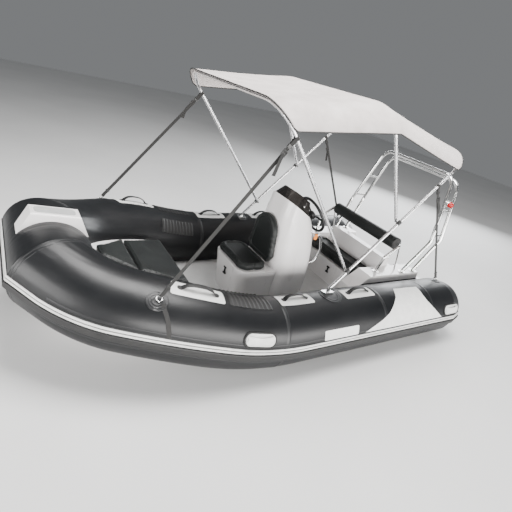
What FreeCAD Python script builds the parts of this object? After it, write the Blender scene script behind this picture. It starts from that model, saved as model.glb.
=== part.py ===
import FreeCAD, Part
import Sketcher
import math
import os

os.makedirs("parts", exist_ok=True)
doc = FreeCAD.newDocument("InflatableBoat")
V = FreeCAD.Vector

# Driving dimensions in millimetres: X runs to the bow, Y to port, Z up from the waterline.
sizes = {
    "running_clearance": 0.3, "seat_clearance": 0.2, "tube_radius": 240, "tube_spacing": 710,
    "tube_height": 230, "tube_end": -1500, "taper_start": 158, "shoulder_along": 764,
    "shoulder_out": 668, "shoulder_up": 309, "cheek_along": 1243, "cheek_out": 518, "cheek_up": 399,
    "corner_along": 1580, "corner_out": 245, "corner_up": 500, "mitre_run": 95, "cone_length": 140,
    "cone_end_radius": 200, "strake_depth": 15, "strake_half_angle": 11, "transom_face": -1560,
    "transom_thick": 45, "transom_top": 300, "keel_depth": 200, "chine_inset": 140, "chine_drop": 255,
    "side_inset": 90, "side_drop": 220, "deck_drop": 138, "cockpit_level": 100, "sole_thick": 8,
    "keel_rise_start": 300, "stem_along": 1650, "locker_back": 760, "locker_front": 1330,
    "bow_deck_level": 352, "bow_deck_slope": 11.3, "locker_wall": 12, "locker_floor": 200,
    "hatch_thick": 10, "bow_cushion_thick": 48, "bow_cushion_back_half": 318,
    "bow_cushion_mid_half": 215, "bow_cushion_front_half": 70, "bow_cushion_mid": 1085,
    "bow_cushion_front": 1300, "step_half_width": 66, "step_thick": 52, "step_flat_front": 105,
    "step_flat_back": 158, "step_toe": 176, "step_heel": 205, "front_seat_front": 330,
    "front_seat_back": 60, "front_seat_half": 225, "front_seat_top": 392, "seat_wall": 12,
    "lid_thick": 12, "seat_cushion_thick": 52, "front_seat_foot_half": 205, "console_front": 5,
    "console_back": -372, "console_foot_half": 200, "console_belly_half": 248, "console_top_half": 188,
    "console_belly_level": 440, "console_shoulder_level": 700, "console_top": 950,
    "console_top_slope": 29.5, "console_shoulder_half": 214, "dash_along": -294, "dash_up": 732,
    "dash_tilt": 28.8, "dash_width": 300, "dash_height": 170, "dash_thick": 14, "wheel_radius": 165,
    "wheel_rim_radius": 13, "wheel_stand": 128, "wheel_shaft_radius": 14, "screen_rise": 90,
    "screen_thick": 5, "backrest_low": 467, "backrest_high": 800, "backrest_half": 176,
    "backrest_thick": 48, "rear_seat_front": -822, "rear_seat_back": -1022, "rear_seat_half": 348,
    "rear_seat_top": 300, "rear_cushion_thick": 100, "bulkhead_top": 530, "bulkhead_thick": 70,
    "bulkhead_lean": 70, "bulkhead_rake": 20, "well_floor": 235, "wing_outer": 500, "wing_level": 450,
    "wing_front": -640, "wing_rise_end": -800, "wing_back": -1450, "bolster_along": -1104,
    "bolster_up": 702, "bolster_radius": 62, "bolster_half": 402, "rail_radius": 12.5,
    "bolster_foot_along": -935, "bolster_foot_out": 425, "arch_tube_radius": 15,
    "arch_foot_along": -1236, "arch_foot_out": 470, "arch_gap": 158, "arch_knee_along": -1388,
    "arch_knee_out": 520, "arch_knee_up": 772, "arch_top_along": -1500, "arch_top_out": 400,
    "arch_top_up": 1345, "bow_tube_radius": 11, "hinge_along": -152, "hinge_out": 668,
    "bimini_base_up": 497, "main_top_along": -1122, "main_top_up": 1572, "middle_hinge_along": -628,
    "front_hinge_along": -280, "middle_top_along": -197, "middle_top_up": 1760, "front_top_along": 610,
    "front_top_up": 1655, "crown_bend": 190, "eye_thick": 6, "canopy_ride": 5, "canopy_thick": 6,
    "canopy_overhang": 20, "canopy_drop": 150, "ring_along": 1122, "ring_tilt": 35,
    "aft_ring_along": -1455, "aft_ring_tilt": -7, "ring_inner": 16, "ring_wire": 3, "ring_patch": 55,
    "patch_thick": 2.5, "strap_width": 25, "strap_thick": 3, "grab_length": 170, "grab_height": 36,
    "grab_width": 26, "grab_thick": 5, "grab_pad_length": 300, "grab_pad_width": 112, "grab_one": 932,
    "grab_two": 182, "grab_three": -419, "lift_length": 240, "lift_width": 104, "lift_thick": 16,
    "lift_mid": 545, "lift_aft": -1450, "lift_tilt": 65.5, "step_heel_rise": 140, "step_toe_rise": 165,
    "step_back_drop": 26, "step_round": 9, "console_foot_back": -388, "console_shoulder_back": -350,
    "console_top_front": -32, "console_top_back": -285, "seat_corner": 85, "pedestal_rake": 38,
    "wing_nose_level": 330, "bolster_post_radius": 6, "rung_radius": 9, "lamp_radius": 27,
    "screen_inset": 8, "screen_lean": 26, "screen_end": -205, "grab_one_tilt": 6, "grab_two_tilt": -2,
    "grab_three_tilt": 0, "mount_patch": 85,
    "aft_ring_patch": 42, "grip_bar": 22, "rail_out": 200, "rail_high": 725, "rail_low": 405,
    "rail_stand": 55, "latch_length": 62, "latch_width": 20, "latch_thick": 9, "latch_level": 300,
    "eye_ring": 17, "eye_wire": 5, "eye_share": 0.5, "eye_plate_length": 60, "eye_plate_width": 30,
    "eye_plate_thick": 6, "shoulder_keel_rise": 42, "cheek_keel_rise": 172, "corner_keel_rise": 320,
    "corner_setback": 60, "stem_keel_drop": 262, "stem_chine_half": 60, "stem_chine_drop": 250,
    "stem_side_half": 90, "stem_side_drop": 236, "stem_deck_drop": 180, "hatch_inset": 20,
    "hatch_back_ledge": 30, "hatch_front_ledge": 120, "foot_round": 80, "belly_round": 130,
    "shoulder_round": 140, "cushion_lip": 4, "helm_depth": 40, "helm_radius": 42, "hub_radius": 38, "grab_foot_reach": 12, "grab_foot_length": 44,
    "grab_foot_thick": 6, "grab_ramp": 28, "lamp_share": 0.61, "lamp_depth": 40, "lamp_base": 20,
    "lamp_base_radius": 20, "flange_radius": 30, "flange_thick": 6,
    "pedestal_root": 60, "seat_foot_corner": 75, "locker_ledge": 20,
    "transom_ear": 60, "ear_half": 190, "transom_low_inset": 190, "transom_top_inset": 225, "motor_notch": 150, "strap_setback": 10, "aft_strap_setback": 140,
}
sheet = doc.addObject("Spreadsheet::Sheet", "Sizes")
for row, (name, number) in enumerate(sizes.items(), 1):
    sheet.set("A%d" % row, name)
    sheet.set("B%d" % row, str(number))
    sheet.setAlias("B%d" % row, name)
doc.recompute()


class Size:
    """A length that carries the sheet expression it comes from."""

    def __init__(self, number, text):
        self.number = float(number)
        self.text = text

    def __add__(self, other):
        other = size(other)
        return Size(self.number + other.number, "(%s + %s)" % (self.text, other.text))

    def __sub__(self, other):
        other = size(other)
        return Size(self.number - other.number, "(%s - %s)" % (self.text, other.text))

    def __mul__(self, other):
        other = size(other)
        return Size(self.number * other.number, "(%s * %s)" % (self.text, other.text))

    def __truediv__(self, other):
        other = size(other)
        return Size(self.number / other.number, "(%s / %s)" % (self.text, other.text))

    def __neg__(self):
        return Size(-self.number, "(0 - %s)" % self.text)

    __radd__ = __add__
    __rmul__ = __mul__

    def __rsub__(self, other):
        return size(other) - self


def size(item):
    return item if isinstance(item, Size) else Size(item, repr(float(item)))


class Sizes:
    pass


z = Sizes()
b = Sizes()
for name in sizes:
    number = float(sheet.get(name))
    setattr(z, name, number)
    setattr(b, name, Size(number, "Sizes." + name))

nodes = {}


def keep(obj, label):
    obj.Label = label
    nodes[label] = obj
    return obj


def feature(label, shape):
    obj = doc.addObject("Part::Feature", label)
    obj.Shape = shape
    return keep(obj, label)


def newBody(label):
    return keep(doc.addObject("PartDesign::Body", label), label)


def sketchOn(body, plane, label, lift=None):
    item = body.newObject("Sketcher::SketchObject", label)
    base = [o for o in body.Origin.OriginFeatures if o.Role == plane][0]
    item.AttachmentSupport = [(base, "")]
    item.MapMode = "FlatFace"
    if lift is not None:
        lift = size(lift)
        item.AttachmentOffset = FreeCAD.Placement(V(0, 0, lift.number), FreeCAD.Rotation())
        item.setExpression("AttachmentOffset.Base.z", lift.text)
    return item


def hold(item, kind, geo, point, amount):
    amount = size(amount)
    index = item.addConstraint(Sketcher.Constraint(kind, -1, 1, geo, point, amount.number))
    item.setExpression("Constraints[%d]" % index, amount.text)


def outline(body, plane, label, points, lift=None):
    """Closed straight-sided profile with every corner tied to the sheet."""
    item = sketchOn(body, plane, label, lift)
    corners = [(size(p), size(q)) for p, q in points]
    count = len(corners)
    for i in range(count):
        p, q = corners[i], corners[(i + 1) % count]
        item.addGeometry(Part.LineSegment(V(p[0].number, p[1].number, 0), V(q[0].number, q[1].number, 0)), False)
    for i in range(count):
        item.addConstraint(Sketcher.Constraint("Coincident", i, 2, (i + 1) % count, 1))
    for i, (p, q) in enumerate(corners):
        hold(item, "DistanceX", i, 1, p)
        hold(item, "DistanceY", i, 1, q)
    return item


def ring(body, plane, label, circles, lift=None):
    """Circles (centre across, centre up, radius) tied to the sheet."""
    item = sketchOn(body, plane, label, lift)
    for i, (p, q, r) in enumerate(circles):
        p, q, r = size(p), size(q), size(r)
        item.addGeometry(Part.Circle(V(p.number, q.number, 0), V(0, 0, 1), r.number), False)
        hold(item, "DistanceX", i, 3, p)
        hold(item, "DistanceY", i, 3, q)
        index = item.addConstraint(Sketcher.Constraint("Radius", i, r.number))
        item.setExpression("Constraints[%d]" % index, r.text)
    return item


def pad(body, profile, length, label, middle=False, back=False):
    item = body.newObject("PartDesign::Pad", label)
    item.Profile = profile
    length = size(length)
    item.Length = length.number
    item.setExpression("Length", length.text)
    item.Midplane = middle
    item.Reversed = back
    return item


def pocket(body, profile, label, length=None, middle=False, back=False):
    doc.recompute()
    item = body.newObject("PartDesign::Pocket", label)
    item.Profile = profile
    if length is None:
        item.Type = "ThroughAll"
    else:
        length = size(length)
        item.Length = length.number
        item.setExpression("Length", length.text)
    item.Midplane = middle
    item.Reversed = back
    return item


def roundEdges(body, label, radius, choose):
    """Fillet on the edges of the body's tip that the test accepts."""
    doc.recompute()
    base = body.Tip
    picked = [i for i, e in enumerate(base.Shape.Edges, 1) if choose(e)]
    item = body.newObject("PartDesign::Fillet", label)
    item.Base = (base, ["Edge%d" % i for i in picked])
    radius = size(radius)
    item.Radius = radius.number
    item.setExpression("Radius", radius.text)
    return item


def mid(edge):
    first, last = edge.ParameterRange
    return edge.valueAt((first + last) / 2)


def arcTo(start, heading, goal):
    """Arc that leaves start along heading and ends at goal, and its end heading."""
    chord = goal - start
    cosine = heading.dot(chord) / chord.Length
    normal = heading.cross(chord)
    if normal.Length < 1e-6:
        return Part.makeLine(start, goal), V(heading)
    normal.normalize()
    half = math.acos(max(-1, min(1, cosine)))
    turn = FreeCAD.Rotation(normal, math.degrees(half))
    out = turn.multVec(turn.multVec(heading))
    radius = chord.Length / 2 / math.sin(half)
    centre = start + normal.cross(heading) * radius
    middle = centre + (turn.multVec(start - centre))
    return Part.Arc(start, middle, goal).toShape(), out


def disc(centre, normal, radius):
    return Part.Wire([Part.makeCircle(radius, centre, normal)])


def sweep(edges, profile):
    return Part.Wire(edges).makePipeShell([profile], True, False)


def roundRoute(points, bend):
    """Straight runs with tangent arcs of the given radius at the inner points."""
    edges = []
    last = points[0]
    for before, here, after in zip(points, points[1:], points[2:]):
        a = (before - here).normalize()
        c = (after - here).normalize()
        half = math.acos(max(-1, min(1, a.dot(c)))) / 2
        setback = min(bend / math.tan(half), 0.48 * (before - here).Length, 0.48 * (after - here).Length)
        radius = setback * math.tan(half)
        p, q = here + a * setback, here + c * setback
        middle = here + (a + c).normalize() * (radius / math.sin(half) - radius)
        edges.append(Part.makeLine(last, p))
        edges.append(Part.Arc(p, middle, q).toShape())
        last = q
    edges.append(Part.makeLine(last, points[-1]))
    return edges


def bentTube(points, bend, radius):
    edges = roundRoute(points, bend)
    return sweep(edges, disc(points[0], points[1] - points[0], radius))


def portAndStarboard(shape):
    return [shape, shape.mirror(V(0, 0, 0), V(0, 1, 0))]


def mirrored(shape):
    return Part.makeCompound(portAndStarboard(shape))


def rod(start, end, radius):
    way = end - start
    return Part.makeCylinder(radius, way.Length, start, way)


def slab(centre, along, up, length, width, thick):
    """Box centred on a point, its length along one direction and its thickness towards another."""
    along = V(along).normalize()
    side = V(up).cross(along).normalize()
    up = along.cross(side)
    turn = FreeCAD.Rotation(along, side, up, "XYZ")
    box = Part.makeBox(length, width, thick, V(-length / 2, -width / 2, 0))
    box.Placement = FreeCAD.Placement(centre, turn)
    return box


# Collar: one port side route, mirrored, and a straight front run between the mitred corners.
sideStart = V(z.tube_end, z.tube_spacing, z.tube_height)
taper = V(z.taper_start, z.tube_spacing, z.tube_height)
shoulder = V(z.shoulder_along, z.shoulder_out, z.shoulder_up)
cheek = V(z.cheek_along, z.cheek_out, z.cheek_up)
corner = V(z.corner_along, z.corner_out, z.corner_up)
arcOne, headOne = arcTo(taper, V(1, 0, 0), shoulder)
arcTwo, headTwo = arcTo(shoulder, headOne, cheek)


def lastBend():
    """Arc from the cheek whose end runs straight into the corner over the mitre run."""
    arc, head = arcTo(cheek, headTwo, corner)
    for _ in range(60):
        goal = corner - head * z.mitre_run
        arc, head = arcTo(cheek, headTwo, goal)
    return arc, head, goal


arcThree, headThree, bendEnd = lastBend()
sideEdges = [Part.makeLine(sideStart, taper), arcOne, arcTwo, arcThree]
frontHead = V(0, -1, 0)
mitreNormal = (headThree + frontHead).normalize()


def beyondMitre(reach):
    """Large block on the bow side of the port mitre plane."""
    block = Part.makeBox(reach, 2 * reach, 2 * reach, V(0, -reach, -reach))
    block.Placement = FreeCAD.Placement(corner, FreeCAD.Rotation(V(1, 0, 0), mitreNormal))
    return block


def behindMitre(reach):
    block = Part.makeBox(reach, 2 * reach, 2 * reach, V(-reach, -reach, -reach))
    block.Placement = FreeCAD.Placement(corner, FreeCAD.Rotation(V(1, 0, 0), mitreNormal))
    return block


def sideTube(radius):
    over = radius * 0.6
    edges = sideEdges + [Part.makeLine(bendEnd, corner + headThree * over)]
    tube = sweep(edges, disc(sideStart, V(1, 0, 0), radius))
    return tube.cut(beyondMitre(4 * radius))


def frontTube(radius):
    over = radius * 0.6
    tube = rod(corner - frontHead * over, V(corner.x, -corner.y, corner.z) + frontHead * over, radius)
    block = behindMitre(4 * radius)
    return tube.cut(block).cut(block.mirror(V(0, 0, 0), V(0, 1, 0)))


def sideForm(radius):
    """Side tube with its stern cone, both at the given radius or grown by as much."""
    tip = V(z.tube_end - z.cone_length, z.tube_spacing, z.tube_height)
    tipRadius = z.cone_end_radius + radius - z.tube_radius
    return sideTube(radius).fuse(Part.makeCone(tipRadius, radius, z.cone_length, tip, V(1, 0, 0)))


portTube, starTube = portAndStarboard(sideForm(z.tube_radius))
bowTube = frontTube(z.tube_radius)
feature("tube_port", portTube)
feature("tube_starboard", starTube)
feature("tube_bow", bowTube)

# Collar shape with the seat clearance, used to fit what lies against the tubes.
seatRadius = z.tube_radius + z.seat_clearance
sideSeat = sideForm(seatRadius)
frontSeat = frontTube(seatRadius)
collarSeat = portAndStarboard(sideSeat) + [frontSeat]


def clearOfCollar(shape):
    for tool in collarSeat:
        if shape.BoundBox.intersect(tool.BoundBox):
            shape = shape.cut(tool)
    return shape


def strakeFace(centre, out, up):
    """Profile of the rub strake: a band that hugs the tube between two radii."""
    inner = z.tube_radius + z.seat_clearance
    outer = z.tube_radius + z.strake_depth
    a = math.radians(z.strake_half_angle)

    def at(radius, angle):
        return centre + out * radius * math.cos(angle) + up * radius * math.sin(angle)
    edges = [Part.Arc(at(inner, -a), at(inner, 0), at(inner, a)).toShape(),
             Part.makeLine(at(inner, a), at(outer, a * 0.75)),
             Part.Arc(at(outer, a * 0.75), at(outer, 0), at(outer, -a * 0.75)).toShape(),
             Part.makeLine(at(outer, -a * 0.75), at(inner, -a))]
    return Part.Wire(edges)


def sideStrake():
    over = z.tube_radius * 0.6
    edges = sideEdges + [Part.makeLine(bendEnd, corner + headThree * over)]
    return sweep(edges, strakeFace(sideStart, V(0, 1, 0), V(0, 0, 1)))


strakeSide = sideStrake().cut(beyondMitre(4 * z.tube_radius))
mitreCut = [f for f in strakeSide.Faces if abs(f.distToShape(Part.Vertex(corner))[0]) < 2 * z.tube_radius
            and abs(f.normalAt(0, 0).dot(mitreNormal)) > 0.999]
strakeFront = mitreCut[0].extrude(V(0, -2 * corner.y, 0))
starboardHalf = Part.makeBox(4 * z.corner_along, 2 * z.tube_spacing, 2 * z.tube_spacing,
                             V(-2 * z.corner_along, -2 * z.tube_spacing, 0))
strakeFront = strakeFront.cut(starboardHalf)
strakeEnd = Part.Face(strakeFace(sideStart, V(0, 1, 0), V(0, 0, 1)))
strakeStern = strakeEnd.extrude(V(-z.cone_length, z.cone_end_radius - z.tube_radius, 0)).cut(sideForm(seatRadius))
strakeHalf = strakeSide.fuse([strakeFront, strakeStern])
rubStrake = strakeHalf.fuse(strakeHalf.mirror(V(0, 0, 0), V(0, 1, 0)))
feature("rub_strake", rubStrake)


def routeAt(along):
    """Centre of the port tube at a station."""
    if along <= z.tube_end:
        return V(along, z.tube_spacing, z.tube_height)
    for edge in sideEdges + [Part.makeLine(bendEnd, corner)]:
        box = edge.BoundBox
        if box.XMin - 1e-6 <= along <= box.XMax + 1e-6:
            first, last = edge.ParameterRange
            for _ in range(50):
                middle = (first + last) / 2
                if edge.valueAt(middle).x < along:
                    first = middle
                else:
                    last = middle
            return edge.valueAt(first)
    return V(corner)


def stationOutline(along, keel, chine, low, side, rise, deck):
    half = [V(along, chine, low), V(along, side, rise), V(along, side, deck)]
    points = [V(along, 0, keel)] + half + [V(along, 0, deck)]
    points += [V(p.x, -p.y, p.z) for p in reversed(half)]
    return Part.makePolygon(points + [points[0]])


def hullStation(along, keel, centre):
    return stationOutline(along, keel, centre.y - z.chine_inset, centre.z - z.chine_drop, centre.y - z.side_inset,
                      centre.z - z.side_drop, centre.z - z.deck_drop)


keelLow = -z.keel_depth
stations = [hullStation(z.transom_face, keelLow, routeAt(z.transom_face)),
            hullStation(z.keel_rise_start, keelLow, routeAt(z.keel_rise_start)),
            hullStation(z.shoulder_along, keelLow + z.shoulder_keel_rise, routeAt(z.shoulder_along)),
            hullStation(z.cheek_along, keelLow + z.cheek_keel_rise, routeAt(z.cheek_along)),
            hullStation(z.corner_along - z.corner_setback, keelLow + z.corner_keel_rise,
                        routeAt(z.corner_along - z.corner_setback)),
            stationOutline(z.stem_along, z.corner_up - z.stem_keel_drop, z.stem_chine_half,
                       z.corner_up - z.stem_chine_drop, z.stem_side_half, z.corner_up - z.stem_side_drop,
                       z.corner_up - z.stem_deck_drop)]
hullBlock = Part.makeLoft(stations, True, True)
cockpit = Part.makeBox(z.locker_back - z.transom_face, 2 * z.tube_spacing, 600,
                       V(z.transom_face, -z.tube_spacing, z.cockpit_level - z.sole_thick))
hull = clearOfCollar(hullBlock).cut(cockpit)
lockerHole = Part.makeBox(z.locker_front - z.locker_back - z.hatch_back_ledge - z.hatch_front_ledge,
                          2 * (z.bow_cushion_mid_half - z.hatch_inset), 600,
                          V(z.locker_back + z.hatch_back_ledge, z.hatch_inset - z.bow_cushion_mid_half,
                            z.locker_floor))
hull = hull.cut(lockerHole)
feature("hull", hull)

sole = Part.makeBox(z.locker_back - z.transom_face - z.transom_thick, 2 * z.tube_spacing, z.sole_thick,
                    V(z.transom_face + z.transom_thick, -z.tube_spacing, z.cockpit_level - z.sole_thick))
feature("cockpit_sole", clearOfCollar(sole))

bowRise = math.tan(math.radians(z.bow_deck_slope))


def deckAt(along):
    return z.bow_deck_level + (along - z.locker_back) * bowRise


def largest(shape):
    return max(shape.Solids, key=lambda s: s.Volume)


def sideways(points, half):
    """Profile in the XZ plane, extruded evenly to both sides of the centreline."""
    corners = [V(p, -half, q) for p, q in points]
    return Part.Face(Part.makePolygon(corners + [corners[0]])).extrude(V(0, 2 * half, 0))


def upright(points, low, high):
    """Plan outline extruded between two levels."""
    corners = [V(p, q, low) for p, q in points]
    return Part.Face(Part.makePolygon(corners + [corners[0]])).extrude(V(0, 0, high - low))


def deckSlab(points, low, high):
    """Plan outline cut from the sloping bow deck, between two heights above it."""
    wall = upright(points, 0, 2 * z.tube_spacing)
    reach = (z.locker_back - 200, z.locker_front + 200)
    band = [(reach[0], deckAt(reach[0]) + low), (reach[1], deckAt(reach[1]) + low),
            (reach[1], deckAt(reach[1]) + high), (reach[0], deckAt(reach[0]) + high)]
    return wall.common(sideways(band, z.tube_spacing))


# Bow locker: a deck moulding between the tubes with a hatch opening.
hatchSeam = z.bow_cushion_mid
lockerSide = [(z.locker_back, z.cockpit_level), (z.locker_back, deckAt(z.locker_back)),
              (z.locker_front, deckAt(z.locker_front)), (z.locker_front, z.cockpit_level)]
bowLocker = clearOfCollar(sideways(lockerSide, z.cheek_out)).cut(hull).cut(lockerHole)
feature("bow_locker", largest(bowLocker))

backPlan = [(z.locker_back + 4, z.bow_cushion_back_half), (hatchSeam - 1, z.bow_cushion_mid_half),
            (hatchSeam - 1, -z.bow_cushion_mid_half), (z.locker_back + 4, -z.bow_cushion_back_half)]
frontPlan = [(hatchSeam + 1, z.bow_cushion_mid_half), (z.bow_cushion_front, z.bow_cushion_front_half),
             (z.bow_cushion_front, -z.bow_cushion_front_half), (hatchSeam + 1, -z.bow_cushion_mid_half)]
cushionBase = z.hatch_thick + 2 * z.running_clearance
feature("bow_hatch", deckSlab(backPlan, z.running_clearance, z.hatch_thick + z.running_clearance))
feature("bow_cushion_back", deckSlab(backPlan, cushionBase, cushionBase + z.bow_cushion_thick))
frontPad = deckSlab(frontPlan, z.running_clearance, cushionBase + z.bow_cushion_thick)
feature("bow_cushion_front", largest(clearOfCollar(frontPad)))

# Bow step: a white saddle over the front run of the collar.
step = newBody("bow_step")
saddle = outline(step, "XZ_Plane", "StepProfile", [
    (b.corner_along + b.step_toe, b.corner_up + b.step_toe_rise),
    (b.corner_along + b.step_flat_front, b.corner_up + b.tube_radius + b.step_thick),
    (b.corner_along - b.step_flat_back, b.corner_up + b.tube_radius + b.step_thick - b.step_back_drop),
    (b.corner_along - b.step_heel, b.corner_up + b.step_heel_rise)])
pad(step, saddle, b.step_half_width * 2, "StepPad", middle=True)
seat = ring(step, "XZ_Plane", "StepSeat", [(b.corner_along, b.corner_up, b.tube_radius + b.seat_clearance)])
pocket(step, seat, "StepSeatCut", b.step_half_width * 2 + 2, middle=True)
roundEdges(step, "StepRound", b.step_round, lambda e: mid(e).z > z.corner_up + z.tube_radius + z.step_thick
           - z.step_back_drop - 1)


def roundedPlan(front, back, half, corner, level, slope=0.0):
    """Rounded rectangle around the centreline, on a level or sloping plane."""
    length = front - back
    r = min(corner, 0.45 * length, 0.9 * half)

    def at(p, q):
        drop = math.tan(math.radians(slope)) * (front - p)
        return V(p, q, level - drop)
    k = r * (1 - math.sqrt(0.5))
    edges = [Part.makeLine(at(front, -half + r), at(front, half - r)),
             Part.Arc(at(front, half - r), at(front - k, half - k), at(front - r, half)).toShape(),
             Part.makeLine(at(front - r, half), at(back + r, half)),
             Part.Arc(at(back + r, half), at(back + k, half - k), at(back, half - r)).toShape(),
             Part.makeLine(at(back, half - r), at(back, -half + r)),
             Part.Arc(at(back, -half + r), at(back + k, -half + k), at(back + r, -half)).toShape(),
             Part.makeLine(at(back + r, -half), at(front - r, -half)),
             Part.Arc(at(front - r, -half), at(front - k, -half + k), at(front, -half + r)).toShape()]
    return Part.Wire(edges)


# Jockey console: one moulding with the front seat pedestal, its locker open under the seat lid.
dashTilt = math.radians(z.dash_tilt)
dashOut = V(-math.cos(dashTilt), 0, math.sin(dashTilt))
dashUp = V(math.sin(dashTilt), 0, math.cos(dashTilt))
dashPoint = V(z.dash_along, 0, z.dash_up)
shell = Part.makeLoft([
    roundedPlan(z.console_front, z.console_foot_back, z.console_foot_half, z.foot_round, z.cockpit_level),
    roundedPlan(z.console_front, z.console_back, z.console_belly_half, z.belly_round, z.console_belly_level),
    roundedPlan(z.console_front, z.console_shoulder_back, z.console_shoulder_half, z.shoulder_round,
                z.console_shoulder_level),
    roundedPlan(z.console_top_front, z.console_top_back, z.console_top_half, z.console_top_half - 18,
                z.console_top, z.console_top_slope)], True, False)
dashBlock = Part.makeBox(600, 900, 900, V(0, -450, -450))
dashBlock.Placement = FreeCAD.Placement(dashPoint, FreeCAD.Rotation(V(1, 0, 0), dashOut))
shell = shell.cut(dashBlock)
pedestalBack = z.console_front - z.pedestal_root
pedestal = Part.makeLoft([
    roundedPlan(z.front_seat_front - z.pedestal_rake, pedestalBack, z.front_seat_foot_half, z.seat_foot_corner,
                z.cockpit_level),
    roundedPlan(z.front_seat_front, pedestalBack, z.front_seat_half, z.seat_corner, z.front_seat_top)], True, True)
console = shell.fuse(pedestal)
holeBack = z.front_seat_back + z.locker_ledge
seatHole = Part.makeLoft([
    roundedPlan(z.front_seat_front - z.pedestal_rake - z.seat_wall, holeBack, z.front_seat_foot_half - z.seat_wall,
                z.seat_foot_corner - z.seat_wall, z.cockpit_level + z.locker_ledge),
    roundedPlan(z.front_seat_front - z.seat_wall, holeBack, z.front_seat_half - z.seat_wall,
                z.seat_corner - z.seat_wall, z.front_seat_top + z.seat_wall)], True, True)
console = console.cut(seatHole)
feature("console", console)

dashPanel = slab(dashPoint + dashOut * z.seat_clearance, V(0, 1, 0), dashOut, z.dash_width, z.dash_height,
                 z.dash_thick)
helmFoot = dashPoint + dashOut * (z.dash_thick + z.seat_clearance)
helm = rod(helmFoot, helmFoot + dashOut * z.helm_depth, z.helm_radius)
shaftHole = rod(dashPoint, dashPoint + dashOut * 80, z.wheel_shaft_radius + z.running_clearance)
feature("dash_panel", dashPanel.fuse(helm).cut(shaftHole))
hub = dashPoint + dashOut * z.wheel_stand
rim = Part.makeTorus(z.wheel_radius - z.wheel_rim_radius, z.wheel_rim_radius, hub, dashOut)
wheel = rod(dashPoint + dashOut * (z.dash_thick / 2), hub + dashOut * 8, z.wheel_shaft_radius)
wheel = wheel.fuse(rod(hub - dashOut * 22, hub + dashOut * 14, z.hub_radius))
wheel = wheel.fuse(rim)
for turn in (90, 210, 330):
    way = FreeCAD.Rotation(dashOut, turn).multVec(dashUp)
    wheel = wheel.fuse(rod(hub - dashOut * 4, hub + way * (z.wheel_radius - z.wheel_rim_radius), 8))
feature("steering_wheel", wheel)

# Grab rails down both aft edges of the console.
railRoute = [V(z.console_shoulder_back + 80, z.rail_out - 15, z.rail_high),
             V(z.console_shoulder_back - z.rail_stand * 0.6, z.rail_out, z.rail_high - 35),
             V(z.console_back - z.rail_stand, z.rail_out, (z.rail_high + z.rail_low) / 2),
             V(z.console_back - z.rail_stand * 0.6, z.rail_out, z.rail_low + 60),
             V(z.console_back + 90, z.rail_out - 15, z.rail_low)]
railBare = bentTube(railRoute, 60, z.rail_radius * 0.8)
feature("console_rail", mirrored(largest(railBare.cut(console))))

# Windscreen: a bent sheet standing on the rim of the console top.
topSlope = math.radians(z.console_top_slope)


def screenBand(inset, lift):
    """Flat horseshoe on the console top plane, raised along its normal."""
    normal = V(-math.sin(topSlope), 0, math.cos(topSlope))
    half = z.console_top_half - inset
    outer = roundedPlan(z.console_top_front - inset, z.console_top_back, half, half - 18,
                        z.console_top - inset * math.tan(topSlope), z.console_top_slope)
    outer.translate(normal * lift)
    return outer


def screenShell(grow):
    return Part.makeLoft([screenBand(z.screen_inset + grow, z.seat_clearance),
                          screenBand(z.screen_inset + z.screen_lean + grow, z.screen_rise)], True, True)


screen = screenShell(0).cut(screenShell(z.screen_thick))
behind = Part.makeBox(600, 900, 900, V(z.screen_end - 600, -450, z.console_shoulder_level - 200))
screen = screen.cut(behind)
feature("windscreen", largest(screen))

# Front seat: lid, cushion and backrest pad.
lidLow = z.front_seat_top + z.running_clearance
lidPlan = roundedPlan(z.front_seat_front, z.front_seat_back, z.front_seat_half, z.seat_corner, lidLow)
feature("front_seat_lid", Part.Face(lidPlan).extrude(V(0, 0, z.lid_thick)))
padLow = lidLow + z.lid_thick + z.running_clearance
padPlan = roundedPlan(z.front_seat_front + z.cushion_lip, z.front_seat_back, z.front_seat_half + z.cushion_lip,
                      z.seat_corner + z.cushion_lip, padLow)
feature("front_seat_cushion", Part.Face(padPlan).extrude(V(0, 0, z.seat_cushion_thick)))
backTop = z.backrest_high - z.backrest_half * 0.75
backNarrow = z.backrest_half * 0.86
backFace = Part.Wire([
    Part.makeLine(V(0, -z.backrest_half * 0.78, z.backrest_low), V(0, z.backrest_half * 0.78, z.backrest_low)),
    Part.makeLine(V(0, z.backrest_half * 0.78, z.backrest_low), V(0, z.backrest_half, z.backrest_low + 60)),
    Part.makeLine(V(0, z.backrest_half, z.backrest_low + 60), V(0, backNarrow, backTop)),
    Part.Arc(V(0, backNarrow, backTop), V(0, 0, z.backrest_high), V(0, -backNarrow, backTop)).toShape(),
    Part.makeLine(V(0, -backNarrow, backTop), V(0, -z.backrest_half, z.backrest_low + 60)),
    Part.makeLine(V(0, -z.backrest_half, z.backrest_low + 60), V(0, -z.backrest_half * 0.78, z.backrest_low))])
backrest = Part.Face(backFace).extrude(V(z.backrest_thick, 0, 0))
backrest.translate(V(z.console_front + z.seat_clearance, 0, 0))
feature("front_backrest", backrest.cut(console))

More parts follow.
